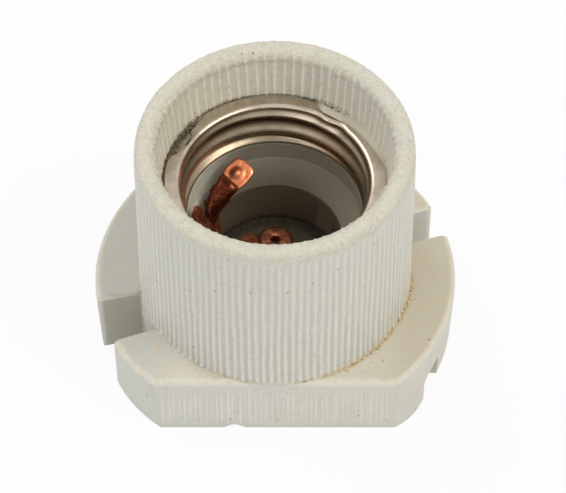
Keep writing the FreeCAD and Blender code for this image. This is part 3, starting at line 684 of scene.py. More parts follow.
# %% Fired clay
def fired_clay():
    clay = Finish("fired_clay")
    patches = clay.noise(clay.place, 0.11, 3.0)
    grain = clay.noise(clay.place, 2.2, 3.0, 0.65)
    fine = clay.noise(clay.place, 6.0, 2.0, 0.6)
    zones = clay_zones(clay)
    colour = clay_colour(clay, zones, patches, grain)
    colour = clay_dirt(clay, colour, zones, grain, fine)
    sandy = clay.noise(clay.place, 1.7, 4.0, 0.75)
    height = sandy * (zones["rim"] * 1.9 + 0.55) + fine * (zones["rim"] * 0.6 + 0.30)
    normal = clay.bump(height, 0.20, 0.9)
    rough = (grain - 0.5) * 0.3 + 0.56 + zones["rim"] * 0.1
    return clay.done(base_color=colour, roughness=rough, normal=normal)


FIRED_CLAY = fired_clay()
print("fired clay:", len(FIRED_CLAY.node_tree.nodes), "nodes")

# %% [markdown]
# ## Upright ribs
# Every rib is the same rule: a wave in the angle, raised to a power that makes its crests narrow or
# broad. A slow noise bends and dims the ribs as a worn mould does. The tree moves only the points of
# one wall, so the same tree makes the broad outer ribs and then the thin ones inside the mouth.

# %% Rib tree
OUTER_RIBS = dict(Count=RIB_COUNT, Depth=RIB_DEPTH, Power=1.9, Outward=1.0,
                  InnerRadius=18.3, OuterRadius=20.0, Low=SKIRT_Z - 0.2, High=RIM_Z - 1.3,
                  LowFade=0.3, HighFade=1.8, TopShare=0.5, Wander=0.8, Dust=0.8, Seed=1.0)
MOUTH_RIBS = dict(Count=MOUTH_RIB_COUNT, Depth=MOUTH_RIB_DEPTH, Power=5.0, Outward=-1.0,
                  InnerRadius=15.0, OuterRadius=16.5, Low=SHELF_Z - 2.0, High=RIM_Z - 0.6,
                  LowFade=3.0, HighFade=0.35, TopShare=1.0, Wander=0.7, Dust=0.7, Seed=2.0)


def upright_ribs():
    tree = GeometryGraph("upright_ribs", **OUTER_RIBS)
    get = tree.named
    place, x, y, z, radius, angle = tree.place()
    shifted = tree.vector("ADD", place, tree.combine(get("Seed") * 37.0, 0.0, 0.0))
    slow = tree.noise(tree.vector("MULTIPLY", shifted, (0.35, 0.35, 0.06)), 1.0, 2.0)
    patchy = tree.noise(tree.vector("MULTIPLY", shifted, (0.9, 0.9, 0.10)), 1.0, 2.0)
    phase = angle * get("Count") + (slow - 0.5) * get("Wander") * (2 * math.pi)
    wave = (tree.math("COSINE", phase) + 1) * 0.5
    crest = tree.math("POWER", wave, get("Power"))
    reach = z.above(get("Low"), get("Low") + get("LowFade"))
    reach = reach * z.below(get("High") - get("HighFade"), get("High"))
    climb = z.above(get("Low"), get("High"))
    strength = reach * (1 - climb * (1 - get("TopShare"))) * (patchy.above(0.2, 0.55) * 0.6 + 0.4)
    wall = radius.above(get("InnerRadius"), get("InnerRadius") + 0.02)
    wall = wall * radius.below(get("OuterRadius") - 0.02, get("OuterRadius"))
    lift = crest * strength * wall
    push = lift * get("Depth") * get("Outward") * MM
    offset = tree.scaled(tree.combine(x / radius, y / radius, 0.0), push)
    moved = tree.node("GeometryNodeSetPosition", None, {"Geometry": tree.given, "Offset": offset})
    # ridge marks the crests, where the clay paints a highlight; groove marks the grooves, where it paints
    # shade
    for name, value in (("ridge", lift), ("groove", wall * strength * (1 - crest) * get("Dust"))):
        before = tree.node("GeometryNodeInputNamedAttribute", {"data_type": "FLOAT"}, {"Name": name})
        moved = tree.node("GeometryNodeStoreNamedAttribute", {"data_type": "FLOAT", "domain": "POINT"},
                          {"Geometry": moved, "Name": name, "Value": before + value})
    tree.finish(moved, FIRED_CLAY)
    return tree


ribs = upright_ribs()
grow(barrel, ribs, **OUTER_RIBS)
grow(barrel, ribs, **MOUTH_RIBS)
print("ribbed barrel:", len(barrel.data.polygons), "faces")

# %% [markdown]
# ## Gritty rim
# The rim was struck off while the clay was damp, so it is rough and a little out of true. A second
# tree moves its points along their normals by three sizes of noise.

# %% Grit tree
RIM_GRIT = dict(From=RIM_Z - 1.9, Coarse=0.18, Grit=0.10, Everywhere=0.05)


def gritty_rim():
    tree = GeometryGraph("gritty_rim", **RIM_GRIT)
    get = tree.named
    place, x, y, z, radius, angle = tree.place()
    rim = z.above(get("From"), get("From") + 1.2)
    coarse = tree.noise(place, 0.28, 2.0) - 0.5
    chips = tree.noise(place, 1.1, 2.0, 0.6) - 0.5
    grit = tree.noise(place, 3.4, 2.0, 0.6) - 0.5
    normal = tree.node("GeometryNodeInputNormal")
    inside = radius.above(THROAT_R + 2.5, THROAT_R + 2.6)
    push = (rim * (coarse * get("Coarse") + chips * get("Coarse") + grit * get("Grit") * 2 - get("Grit"))
            + chips * get("Everywhere") * inside) * MM
    offset = tree.scaled(normal, push)
    moved = tree.node("GeometryNodeSetPosition", None, {"Geometry": tree.given, "Offset": offset})
    tree.finish(moved, FIRED_CLAY)
    return tree


grow(barrel, gritty_rim(), **RIM_GRIT)
print("rim height now", round(max(v.co.z for v in barrel.data.vertices) / MM, 2))

# %% [markdown]
# ## Ceramic base
# The flanged base keeps the CAD solid's own form: slots, flats, pockets and wire notches. A copy of
# that mesh is merged, its flats are pressed plain for the mould lines of the next step, and a turned
# cutter takes away what the barrel now stands for, down to the foot of the cone inside the well.
# Pressing leaves slits of no width, which are zipped up, and normals weighted by area keep the wide
# faces evenly lit.

# %% Cutter
def make_cutter():
    wall = BODY_R + 0.02
    profile = [(0.0, CONE_LOW_Z), (SPLIT_R, CONE_LOW_Z), (SPLIT_R, SPLIT_Z), (SKIRT_R, SPLIT_Z),
               (SKIRT_R, SKIRT_Z), (wall, SKIRT_Z), (wall, BASE_TOP_Z - 0.06), (wall, BASE_TOP_Z - 0.02),
               (wall, RIM_Z + 5), (0.0, RIM_Z + 5)]
    columns = 240
    walls = len(profile) - 3
    verts = [(0, 0, profile[0][1]), (0, 0, profile[-1][1])]
    for radius, height in profile[1:-1]:
        reach = HIDDEN_Y if height < BASE_TOP_Z - 0.03 else BODY_R + 1
        for k in range(columns):
            y = radius * math.sin(2 * math.pi * k / columns)
            verts.append((radius * math.cos(2 * math.pi * k / columns), max(-reach, min(reach, y)), height))
    faces = []
    for k in range(columns):
        k2 = (k + 1) % columns
        faces.append((0, 2 + k, 2 + k2))
        for row in range(walls):
            low = 2 + row * columns
            faces.append((low + k, low + columns + k, low + columns + k2, low + k2))
        faces.append((1, 2 + walls * columns + k2, 2 + walls * columns + k))
    return make_object("barrel_cutter", verts, faces)


# %% Zip
def zip_slits(mesh):
    """Split open edges at the points that lie on them, so that slits of no width close."""
    shape = bmesh.new()
    shape.from_mesh(mesh)
    rims = [edge for edge in shape.edges if edge.is_boundary]
    points = [point.co.copy() for point in {vert for edge in rims for vert in edge.verts}]
    for edge in rims:
        start, end = edge.verts
        line = end.co - start.co
        shares = {(point - start.co).dot(line) / line.length_squared: point for point in points}
        on_line = sorted((share, point) for share, point in shares.items()
                         if 1e-4 < share < 1 - 1e-4 and (start.co + line * share - point).length < 3e-7)
        for _, point in on_line:
            edge, vert = bmesh.utils.edge_split(edge, start, 0.5)
            vert.co = point
            start = vert
            edge = next(side for side in vert.link_edges if end in side.verts)
    bmesh.ops.remove_doubles(shape, verts=shape.verts, dist=5e-7)
    shape.to_mesh(mesh)
    left = sum(edge.is_boundary for edge in shape.edges)
    shape.free()
    return left


# %% Base
def make_base():
    """The CAD body's mesh with plain flats, less the barrel."""
    shape = bmesh.new()
    shape.from_mesh(nodes["ceramic_body"].data)
    bmesh.ops.remove_doubles(shape, verts=shape.verts, dist=1e-7)
    for vert in shape.verts:
        flat = (FLAT_Y - vert.co.z / MM * FLAT_LEAN) * MM
        if abs(vert.co.y) > flat:
            vert.co.y = math.copysign(flat, vert.co.y)
    bmesh.ops.dissolve_degenerate(shape, dist=1e-6, edges=shape.edges)
    bmesh.ops.dissolve_limit(shape, angle_limit=math.radians(0.5), verts=shape.verts, edges=shape.edges)
    mesh = bpy.data.meshes.new("ceramic_base")
    shape.to_mesh(mesh)
    shape.free()
    base = bpy.data.objects.new("ceramic_base", mesh)
    bpy.context.scene.collection.objects.link(base)
    cutter = make_cutter()
    cut = base.modifiers.new("cut", "BOOLEAN")
    cut.operation = "DIFFERENCE"
    cut.solver = "EXACT"
    cut.object = cutter
    depsgraph = bpy.context.evaluated_depsgraph_get()
    result = bpy.data.meshes.new_from_object(base.evaluated_get(depsgraph), depsgraph=depsgraph)
    base.modifiers.remove(cut)
    base.data = result
    bpy.data.objects.remove(cutter)
    print("base: open edges left", zip_slits(result))
    result.materials.clear()
    result.materials.append(FIRED_CLAY)
    result.shade_smooth()
    result.set_sharp_from_angle(angle=math.radians(32))
    even = base.modifiers.new("even_normals", "WEIGHTED_NORMAL")
    even.keep_sharp = True
    even.weight = 100
    depsgraph = bpy.context.evaluated_depsgraph_get()
    base.data = bpy.data.meshes.new_from_object(base.evaluated_get(depsgraph), depsgraph=depsgraph)
    base.modifiers.remove(even)
    return base


base = make_base()
print("base:", len(base.data.polygons), "faces")

# %% [markdown]
# ## Mould lines on the flats
# The mould was scored here too, so thin raised lines stand on both flats, unevenly spaced and of
# uneven height. One thin lens is the source; the tree sets it along a line on each flat, leaning as
# the flat does, and a random number gives each its place, length and height.

# %% Mould lines
LINE_SIZES = dict(Count=42, HalfLength=15.6, Height=8.6, Width=0.20, Proud=0.085, Seed=4)
LINE_MID_Z = 4.3                       # half way up the lines


def mould_lines():
    tree = GeometryGraph("mould_lines", **LINE_SIZES)
    get = tree.named

    def random(low, high, shift):
        return tree.node("FunctionNodeRandomValue", {"data_type": "FLOAT"},
                         {2: low, 3: high, "Seed": get("Seed") + shift}, 1)

    mid_y = -(FLAT_Y - FLAT_LEAN * LINE_MID_Z)
    start = tree.combine(-get("HalfLength") * MM, mid_y * MM, LINE_MID_Z * MM)
    end = tree.combine(get("HalfLength") * MM, mid_y * MM, LINE_MID_Z * MM)
    line = tree.node("GeometryNodeMeshLine", {"mode": "END_POINTS"},
                     {"Count": get("Count"), "Start Location": start, "Offset": end})
    aside = tree.combine(random(-0.24, 0.24, 1) * MM, 0.0, 0.0)
    line = tree.node("GeometryNodeSetPosition", None, {"Geometry": line, "Offset": aside})
    lens = tree.node("GeometryNodeMeshUVSphere", None, {"Segments": 10, "Rings": 24, "Radius": MM})
    height = random(0.75, 1.0, 2) * get("Height") * 0.5
    proud = random(0.25, 1.0, 3) * get("Proud")
    placed = tree.node("GeometryNodeInstanceOnPoints", None,
                       {"Points": line, "Instance": lens, "Rotation": (-math.atan(FLAT_LEAN), 0.0, 0.0),
                        "Scale": tree.combine(get("Width") * random(0.5, 1.0, 4), proud, height)})
    back = tree.node("GeometryNodeTransform", None, {"Geometry": placed, "Rotation": (0.0, 0.0, math.pi)})
    both = tree.node("GeometryNodeJoinGeometry")
    for part in (placed, back):
        tree.tree.links.new(part.socket, both.socket.node.inputs[0])
    tree.finish(both, FIRED_CLAY)
    return tree


flat_lines = bpy.data.objects.new("flat_mould_lines", bpy.data.meshes.new("flat_mould_lines"))
bpy.context.scene.collection.objects.link(flat_lines)
grow(flat_lines, mould_lines(), **LINE_SIZES)
print("mould lines:", len(flat_lines.data.polygons), "faces")

# %% [markdown]
# ## Metal finishes
# Metals get their look from what they reflect, so their base colours stay plain and the wear goes into
# roughness and tarnish. The shell is nickelled sheet, brown where dirt sits in the rolled grooves. The
# copper is bright where it was stamped and dark where it was torn.

# %% Nickelled sheet
def nickelled_sheet():
    sheet = Finish("nickelled_sheet", metallic=1.0)
    around = sheet.noise(sheet.stretched(0.5, 0.5, 9.0), 1.0, 3.0, 0.6)
    rings = sheet.noise(sheet.combine(sheet.r * 6.0, sheet.z * 6.0, 0.0), 1.0, 3.0, 0.6)
    blotch = sheet.noise(sheet.place, 0.5, 3.0)
    wall = sheet.z.below(SHELF_Z - 0.6, SHELF_Z - 0.1)
    depth = sheet.r.above(12.35, 13.15) * wall
    colour = sheet.mix(blotch.above(0.35, 0.7) * 0.7, tone(192, 180, 162), tone(164, 150, 130))
    colour = sheet.mix(wall * 0.35, colour, tone(160, 142, 118))
    colour = sheet.mix(depth * (around * 0.5 + 0.55), colour, tone(84, 66, 46))
    colour = sheet.mix(sheet.z.below(SHELL_LOW_Z + 0.2, SHELL_LOW_Z + 1.2) * 0.55, colour, tone(104, 86, 62))
    grime = sheet.specks(1.5, 0.2, 0.12)
    colour = sheet.mix(grime * 0.5, colour, tone(90, 72, 50))
    rough = around * 0.16 + blotch * 0.14 + depth * 0.12 + 0.12
    normal = sheet.bump(rings * 0.5 + around * 0.5, 0.03, 0.5)
    return sheet.done(base_color=colour, roughness=rough, normal=normal)


NICKELLED_SHEET = nickelled_sheet()
print("nickelled sheet:", len(NICKELLED_SHEET.node_tree.nodes), "nodes")


# %% Copper, in three states
def copper_finish(name, bright, dull, dark, tarnish, rough, scratch, relief):
    """Copper sheet; tarnish is the share of the surface that has gone dark."""
    copper = Finish(name, metallic=1.0)
    blotch = copper.noise(copper.place, 0.9, 4.0, 0.6)
    crust = copper.noise(copper.place, 3.2, 4.0, 0.65)
    lines = copper.noise(copper.stretched(*scratch), 1.0, 3.0, 0.6)
    colour = copper.mix(blotch.above(0.35, 0.65), bright, dull)
    colour = copper.mix(lines.above(0.47, 0.62) * 0.7, colour, dull)
    colour = copper.mix(lines.above(0.60, 0.70) * 0.5, colour, dark)
    colour = copper.mix(crust.above(0.72 - tarnish * 0.5, 0.8 - tarnish * 0.3), colour, dark)
    colour = copper.mix(copper.specks(2.2, 0.2, 0.25) * 0.5, colour, dark)
    normal = copper.bump(crust * 0.6 + lines * 0.4, relief, 0.9)
    return copper.done(base_color=colour, roughness=crust * 0.3 + rough, normal=normal)


COPPER_BRIGHT = copper_finish("copper_bright", tone(234, 152, 110), tone(196, 114, 78), tone(110, 56, 36),
                              0.10, 0.18, (1.0, 1.0, 1.0), 0.015)
COPPER_ROLLED = copper_finish("copper_rolled", tone(222, 150, 118), tone(186, 114, 84), tone(110, 58, 40),
                              0.14, 0.34, (1.0, 1.0, 1.0), 0.03)
COPPER_STRIP = copper_finish("copper_strip", tone(236, 154, 114), tone(172, 96, 66), tone(70, 34, 24),
                             0.24, 0.26, (0.4, 2.6, 0.4), 0.09)
COPPER_TORN = copper_finish("copper_torn", tone(132, 68, 46), tone(92, 44, 30), tone(56, 28, 20),
                            0.40, 0.34, (3.0, 3.0, 1.0), 0.06)


def plated(name, bright, dull, rough, grain):
    """Plated turned or stamped metal with a fine directional grain."""
    metal = Finish(name, metallic=1.0)
    blotch = metal.noise(metal.place, 0.4, 3.0)
    lines = metal.noise(metal.stretched(*grain), 1.0, 3.0, 0.6)
    colour = metal.mix(blotch.above(0.35, 0.7), bright, dull)
    colour = metal.mix(metal.specks(1.2, 0.15, 0.2) * 0.6, colour, tone(88, 78, 62))
    normal = metal.bump(lines, 0.02, 0.5)
    return metal.done(base_color=colour, roughness=lines * 0.2 + rough, normal=normal)


BRASS_PLATE = plated("brass_plate", tone(204, 172, 104), tone(168, 132, 76), 0.24, (8.0, 0.5, 8.0))
ZINC_STEEL = plated("zinc_steel", tone(196, 196, 192), tone(160, 158, 152), 0.26, (7.0, 7.0, 0.6))
print("metals:", len(bpy.data.materials), "materials so far")

# %% [markdown]
# ## Thread shell
# The shell is one sheet: a flat collar on the ceramic shelf, a tight fold, then a wall rolled into a
# thread. The thread is a wave that climbs one pitch in a turn and fades at both ends. The collar's
# edge is uneven: torn in one place, and pushed in and buckled in another.

# %% Thread shell
THREAD_CREST_R, THREAD_DEPTH, THREAD_PITCH = 12.25, 0.95, 3.63
THREAD_CREST_Z = 29.3                  # height of a crest at the back
FOLD_R, LIP_R, FOLD_ROUND = 12.9, 12.0, 0.5
SHELL_COLUMNS, WALL_ROWS = 360, 64


def thread_radius(degrees, z):
    """Inner radius of the rolled wall."""
    crest_z = THREAD_CREST_Z + THREAD_PITCH * (degrees - 90) / 360
    wave = np.cos(2 * math.pi * (z - crest_z) / THREAD_PITCH)
    rolled = THREAD_CREST_R + THREAD_DEPTH * (1 - wave) / 2
    radius = FOLD_R + (rolled - FOLD_R) * smooth_step((SHELF_Z - z) / (THREAD_PITCH * 0.35))
    return LIP_R + (radius - LIP_R) * smooth_step((z - SHELL_LOW_Z) / (THREAD_PITCH * 0.25))


# %% Collar
COLLAR_BITES = ((153.5, 9.5, 1.15, 0.25), (142, 13, 0.65, 0.6), (163, 5, 0.30, 1.0), (88, 24, 0.38, 0.6),
                (57, 10, 0.72, 0.4), (42, 30, 0.95, 0.45))     # centre, half width, depth, squareness


def collar_radius(degrees):
    """Radius of the collar's edge, which is torn at 153 degrees, dented at 57 and worn back beside both."""
    bitten = sum(depth * bump_at(degrees, centre, half) ** square
                 for centre, half, depth, square in COLLAR_BITES)
    ragged = 0.10 * np.sin(np.radians(degrees) * 47) * bump_at(degrees, 152, 13)
    wavy = 0.03 * np.sin(np.radians(degrees) * 3 + 1) + 0.025 * np.sin(np.radians(degrees) * 11)
    return np.maximum(COLLAR_R - 0.12 - bitten + wavy + ragged, 13.45)


def collar_drop(degrees, share):
    """How far the collar is bent down, from fold (share 0) to edge (share 1)."""
    buckle = 0.10 * bump_at(degrees, 50, 4) - 0.06 * bump_at(degrees, 46, 3)
    dent = share ** 1.5 * (0.24 * bump_at(degrees, 60, 11) + buckle)
    return dent + share * 0.12 * bump_at(degrees, 149, 12)


# %% Shell
def shell_rows(degrees):
    """Rows of radius and height: up the inner wall, over the collar, and down the outer wall."""
    inner_z = np.linspace(SHELL_LOW_Z, COLLAR_TOP_Z, WALL_ROWS)
    rows = []
    for z in inner_z:
        rise = max(0.0, z - (COLLAR_TOP_Z - FOLD_ROUND))
        flare = FOLD_ROUND - math.sqrt(max(0.0, FOLD_ROUND ** 2 - rise ** 2))
        push = 0.26 * bump_at(degrees, 57, 9) - 0.14 * bump_at(degrees, 46, 6)
        push = push * smooth_step((z - 28.2) / 1.6)
        rows.append((thread_radius(degrees, z) + flare - push, np.full_like(degrees, z)))
    fold = rows[-1][0]
    edge = collar_radius(degrees)
    for share in (0.12, 0.3, 0.5, 0.7, 0.88, 1.0):
        rows.append((fold + (edge - fold) * share, COLLAR_TOP_Z - collar_drop(degrees, share)))
    for share in (1.0, 0.7, 0.3, 0.1):
        low = np.maximum(COLLAR_TOP_Z - SHEET - collar_drop(degrees, share), SHELF_Z + 0.004)
        rows.append((fold + (edge - fold) * share, low))
    for z in np.linspace(SHELF_Z - 0.02, SHELL_LOW_Z, WALL_ROWS - 12):
        rows.append((thread_radius(degrees, z) + SHEET, np.full_like(degrees, z)))
    return rows


def make_shell():
    degrees = np.linspace(0, 360, SHELL_COLUMNS, endpoint=False)
    rows = shell_rows(degrees)
    angle = np.radians(degrees)
    verts = np.concatenate([np.stack([r * np.cos(angle), r * np.sin(angle), z], 1) for r, z in rows])
    made = make_object("thread_shell_sheet", verts, turned_faces(len(rows), SHELL_COLUMNS), math.radians(50))
    made.data.materials.append(NICKELLED_SHEET)
    return made


shell = make_shell()
print("shell:", len(shell.data.polygons), "faces")

# %% [markdown]
# ## Copper contacts
# The centre contact is a strip that rises from its foot, twists, and ends in a rounded plate with a
# pressed dome. It was torn from its blank, so its edges are ragged. A strip is swept here through
# stations, each a pair of edge points; noise moves its edges and faces.

# %% Strip builder
STRIP = 0.45
BEND_GAP = 0.12


def in_well(x, y, rise):
    """A point by shares of the well: its radius, and its wall's height above the floor."""
    return np.array([x * WELL_R, y * WELL_R, FLOOR_Z + rise * (CONE_LOW_Z - FLOOR_Z)])


def through(points, steps):
    """A smooth run through the points, with some steps between each two."""
    points = np.array(points, float)
    padded = np.concatenate([[2 * points[0] - points[1]], points, [2 * points[-1] - points[-2]]])
    out = []
    for a, b, c, d in zip(padded, padded[1:], padded[2:], padded[3:]):
        for t in np.linspace(0, 1, steps, endpoint=False):
            out.append(0.5 * (2 * b + (c - a) * t + (2 * a - 5 * b + 4 * c - d) * t * t
                              + (3 * b - 3 * c + d - a) * t ** 3))
    return np.array(out + [points[-1]])


def unit(vectors):
    return vectors / np.linalg.norm(vectors, axis=-1, keepdims=True)


def blurred(noise):
    """Noise whose neighbours along the strip agree a little."""
    return (noise + np.roll(noise, 1, 0) * 0.8 + np.roll(noise, -1, 0) * 0.8) / 1.6


def swept_strip(lefts, rights, thickness, steps=10, ragged=0.0, pitted=0.0, seed=0, ring=28, lobe=0.0):
    """Vertices and faces of a strip whose section is a flat oval ring, closed at both ends."""
    random = np.random.default_rng(seed)
    left, right = through(lefts, steps), through(rights, steps)
    count = len(left)
    swell = lobe * np.exp(-((np.arange(count) / steps - 1.15) / 0.38) ** 2)[:, None]
    right = right + (right - left) * swell
    middle, half = (left + right) / 2, (right - left) / 2
    along = np.gradient(middle, axis=0)
    normal = unit(np.cross(half, along))
    turn = np.linspace(0, 2 * math.pi, ring, endpoint=False)
    across = np.sign(np.cos(turn)) * np.abs(np.cos(turn)) ** 0.35
    through_sheet = np.sign(np.sin(turn)) * np.abs(np.sin(turn)) ** 0.55
    fray = blurred(random.uniform(-1, 1, (count, 2))) * ragged * [1.0, 0.35]
    pits = blurred(random.uniform(-1, 1, (count, ring))) * pitted
    verts = []
    for i in range(count):
        side = np.where(across > 0, fray[i, 1], fray[i, 0])
        reach = across * (1 + side * np.abs(across) ** 3)
        lift = -thickness / 2 + through_sheet * thickness / 2 + pits[i]
        verts += list(middle[i] + np.outer(reach, half[i]) + np.outer(lift, normal[i]))
    faces = turned_faces(count, ring)[:(count - 1) * ring]
    faces.append(tuple(range(ring)))
    faces.append(tuple((count - 1) * ring + k for k in reversed(range(ring))))
    return verts, faces


# %% Domed plate
def domed_plate(centre, side_a, side_b, thickness, dome_r, dome_h, rings=22, around=56):
    """A rounded square plate with a pressed dome; side_a and side_b are half edges."""
    normal = unit(np.cross(side_a, side_b))
    turn = np.linspace(0, 2 * math.pi, around, endpoint=False)
    square = (np.abs(np.cos(turn)) ** 3.6 + np.abs(np.sin(turn)) ** 3.6) ** (-1 / 3.6)
    size = (np.linalg.norm(side_a) + np.linalg.norm(side_b)) / 2
    verts, faces = [], []
    for face, level in ((0, 0.0), (1, -thickness)):
        verts.append(centre + normal * (level + dome_h))
        for k in range(1, rings + 1):
            share = k / rings
            away = share * size * square
            dome = dome_h * np.exp(-(away / dome_r) ** 2 * 2.2)
            dome = dome - 0.08 * np.exp(-((away - dome_r * 1.2) / 0.4) ** 2)
            roll = -0.20 * share ** 7 if face == 0 else 0.10 * share ** 8
            flat = np.outer(square * share * np.cos(turn), side_a)
            flat = flat + np.outer(square * share * np.sin(turn), side_b)
            verts += list(centre + flat + np.outer(level + dome + roll, normal))
    stride = 1 + rings * around
    for face in (0, 1):
        start = face * stride
        for m in range(around):
            n = (m + 1) % around
            faces.append((start, start + 1 + m, start + 1 + n))
            for k in range(rings - 1):
                a = start + 1 + k * around
                faces.append((a + m, a + around + m, a + around + n, a + n))
    top, low = 1 + (rings - 1) * around, stride + 1 + (rings - 1) * around
    faces += [(top + m, low + m, low + (m + 1) % around, top + (m + 1) % around) for m in range(around)]
    return verts, faces


def joined(parts):
    """Several meshes as one list of vertices and faces."""
    verts, faces = [], []
    for part_verts, part_faces in parts:
        shift = len(verts)
        verts += part_verts
        faces += [tuple(shift + k for k in face) for face in part_faces]
    return verts, faces


# %% Centre contact's tongue
TONGUE = [((-0.925, 0.112, 1.014), (-0.824, 0.460, 1.014)), ((-1.000, 0.182, 1.216), (-0.749, 0.476, 1.162)),
          ((-1.021, 0.321, 1.412), (-0.663, 0.492, 1.351)), ((-0.941, 0.524, 1.547), (-0.610, 0.492, 1.500)),
          ((-0.802, 0.738, 1.723), (-0.545, 0.524, 1.622))]
HEAD_ALONG = (0.24, 0.24, 0.15)        # the head's second edge, in shares of the well
SLIVERS = [(((-0.85, 0.65, 1.66), (-0.91, 0.50, 1.56), (-0.955, 0.535, 1.54)), 21, 0.12),
           (((-0.93, 0.47, 1.54), (-0.98, 0.33, 1.42), (-1.03, 0.37, 1.42)), 22, 0.10),
           (((-1.00, 0.24, 1.30), (-1.01, 0.31, 1.38), (-1.06, 0.42, 1.46)), 23, 0.02)]


def sliver(root_a, root_b, tip, seed, lift=0.0):
    """A torn sliver: a strip that narrows to its tip."""
    a, b, t = np.array(root_a), np.array(root_b), np.array(tip)
    lefts = [a, a + (t - a) * 0.45 + [0, 0, lift], t - (b - a) * 0.06]
    rights = [b, b + (t - b) * 0.5 + [0, 0, lift], t + (b - a) * 0.06]
    return swept_strip(lefts, rights, STRIP * 0.6, 5, 0.12, 0.02, seed, 12)


def make_tongue():
    rise = np.array([0, 0, BEND_GAP])
    lefts = [in_well(*left) + rise for left, right in TONGUE]
    rights = [in_well(*right) + rise for left, right in TONGUE]
    along = in_well(*HEAD_ALONG) - [0, 0, FLOOR_Z]
    left, right = lefts[-1], rights[-1]
    facing = unit(np.cross(right - left, along))
    tuck = along * 0.16 - facing * 0.16                # the neck's end goes on under the head
    neck = swept_strip(lefts + [left + tuck], rights + [right + tuck], STRIP, 14, 0.07, 0.05, 11, 30, 0.30)
    slivers = [sliver(*[in_well(*point) for point in points], seed, lift) for points, seed, lift in SLIVERS]
    flaps = [swept_strip([in_well(-0.90, 0.60, 1.64), in_well(-0.97, 0.47, 1.55), in_well(-1.01, 0.37, 1.45)],
                         [in_well(-0.86, 0.60, 1.66), in_well(-0.92, 0.45, 1.58), in_well(-0.97, 0.36, 1.49)],
                         0.16, 7, 0.3, 0.03, 31, 12),
             swept_strip([in_well(-0.97, 0.36, 1.50), in_well(-1.00, 0.26, 1.38), in_well(-1.00, 0.17, 1.24)],
                         [in_well(-0.92, 0.38, 1.50), in_well(-0.95, 0.27, 1.40), in_well(-0.96, 0.18, 1.27)],
                         0.16, 7, 0.3, 0.03, 32, 12)]
    torn = make_object("contact_tongue_neck", *joined([neck] + slivers + flaps), math.radians(60))
    torn.data.materials.append(COPPER_TORN)
    centre = (left + right) / 2 + along * 0.46
    plate = domed_plate(centre, (right - left) * 0.56, along * 0.63, STRIP, 1.05, 0.46)
    head = make_object("contact_tongue_head", *plate, math.radians(70))
    head.data.materials.append(COPPER_BRIGHT)
    print("the tongue's head faces", np.round(facing, 2))
    return torn, head


neck, head = make_tongue()

# %% [markdown]
# ## Foot and side contact
# Both start as a rounded pad under a rivet's head and run up the well's wall. The side contact is
# drawn metal, with long scratches; its end is trapped under the shell's lip. A pad is a flat disc
# with the rivet's hole, turned like any round piece.

# %% Foot of the centre contact, and the side contact
PAD_R = 2.15
FOOT = [((-0.20, 0.30, 0.061), (-0.20, 0.60, 0.061)), ((-0.27, 0.29, 0.061), (-0.26, 0.60, 0.061)),
        ((-0.36, 0.28, 0.061), (-0.35, 0.69, 0.061)), ((-0.45, 0.262, 0.061), (-0.45, 0.650, 0.061)),
        ((-0.642, 0.203, 0.061), (-0.610, 0.524, 0.061)), ((-0.770, 0.171, 0.108), (-0.711, 0.508, 0.108)),
        ((-0.872, 0.139, 0.291), (-0.791, 0.492, 0.291)), ((-0.914, 0.118, 0.662), (-0.813, 0.465, 0.662)),
        ((-0.925, 0.112, 0.997), (-0.824, 0.460, 0.997))]
SIDE = [((-0.20, -0.64, 0.061), (-0.20, -0.34, 0.061)), ((-0.45, -0.56, 0.061), (-0.46, -0.25, 0.061)),
        ((-0.599, -0.492, 0.061), (-0.631, -0.182, 0.061)),
        ((-0.754, -0.385, 0.108), (-0.791, -0.080, 0.108)),
        ((-0.824, -0.321, 0.277), (-0.850, -0.011, 0.277)), ((-0.834, -0.289, 0.838), (-0.850, 0.021, 0.838)),
        ((-0.888, -0.267, 1.162), (-0.885, 0.080, 1.162)), ((-1.027, -0.235, 1.432), (-1.020, 0.165, 1.432)),
        ((-1.100, -0.215, 1.635), (-1.085, 0.190, 1.635)), ((-1.155, -0.205, 1.760), (-1.150, 0.140, 1.760)),
        ((-1.187, -0.203, 1.849), (-1.187, -0.040, 1.849))]


# %% Riveted strips
def riveted_pad(y):
    """A flat ring on the well's floor, round a rivet's barrel."""
    turn = np.linspace(0, 2 * math.pi, 48, endpoint=False)
    rows = []
    for radius, rise in ((1.86, 0), (1.86, STRIP), (PAD_R - 0.08, STRIP), (PAD_R, STRIP - 0.1), (PAD_R, 0)):
        height = np.full(48, FLOOR_Z + rise)
        rows.append(np.stack([radius * np.cos(turn), y + radius * np.sin(turn), height], 1))
    return list(np.concatenate(rows)), turned_faces(len(rows), 48)


def make_riveted_strip(name, stations, y, thickness, seed, lobe=0.0):
    lefts = [in_well(*left) for left, right in stations]
    rights = [in_well(*right) for left, right in stations]
    run = swept_strip(lefts, rights, thickness, 10, 0.03, 0.015, seed, 28, lobe)
    made = make_object(name, *joined([riveted_pad(y), run]), math.radians(50))
    made.data.materials.append(COPPER_STRIP)
    print(name, len(made.data.polygons), "faces")
    return made


RIVET_Y = (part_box("centre_rivet")[0].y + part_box("centre_rivet")[1].y) / 2 / MM
foot = make_riveted_strip("contact_foot_strip", FOOT, RIVET_Y, STRIP, 41)
side_strip = make_riveted_strip("side_contact_strip", SIDE, -RIVET_Y, STRIP * 0.8, 42)

# %% [markdown]
# ## Tubular rivets
# Each rivet is an eyelet: a barrel through the floor, rolled over at both ends. One turned eyelet is
# the source, and a geometry tree sets one on each side of the axis, turned by a random angle. The
# same tree later sets the lumps of dirt that have packed into the two bores.

# %% Rivets
RIVET_LOW_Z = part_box("centre_rivet")[0].z / MM
BORE, BARREL, HEAD_R, TAIL_R = 1.15, 1.75, 2.5, 2.35
CROWN_R = 0.62                         # the bore where the head is rolled nearly shut


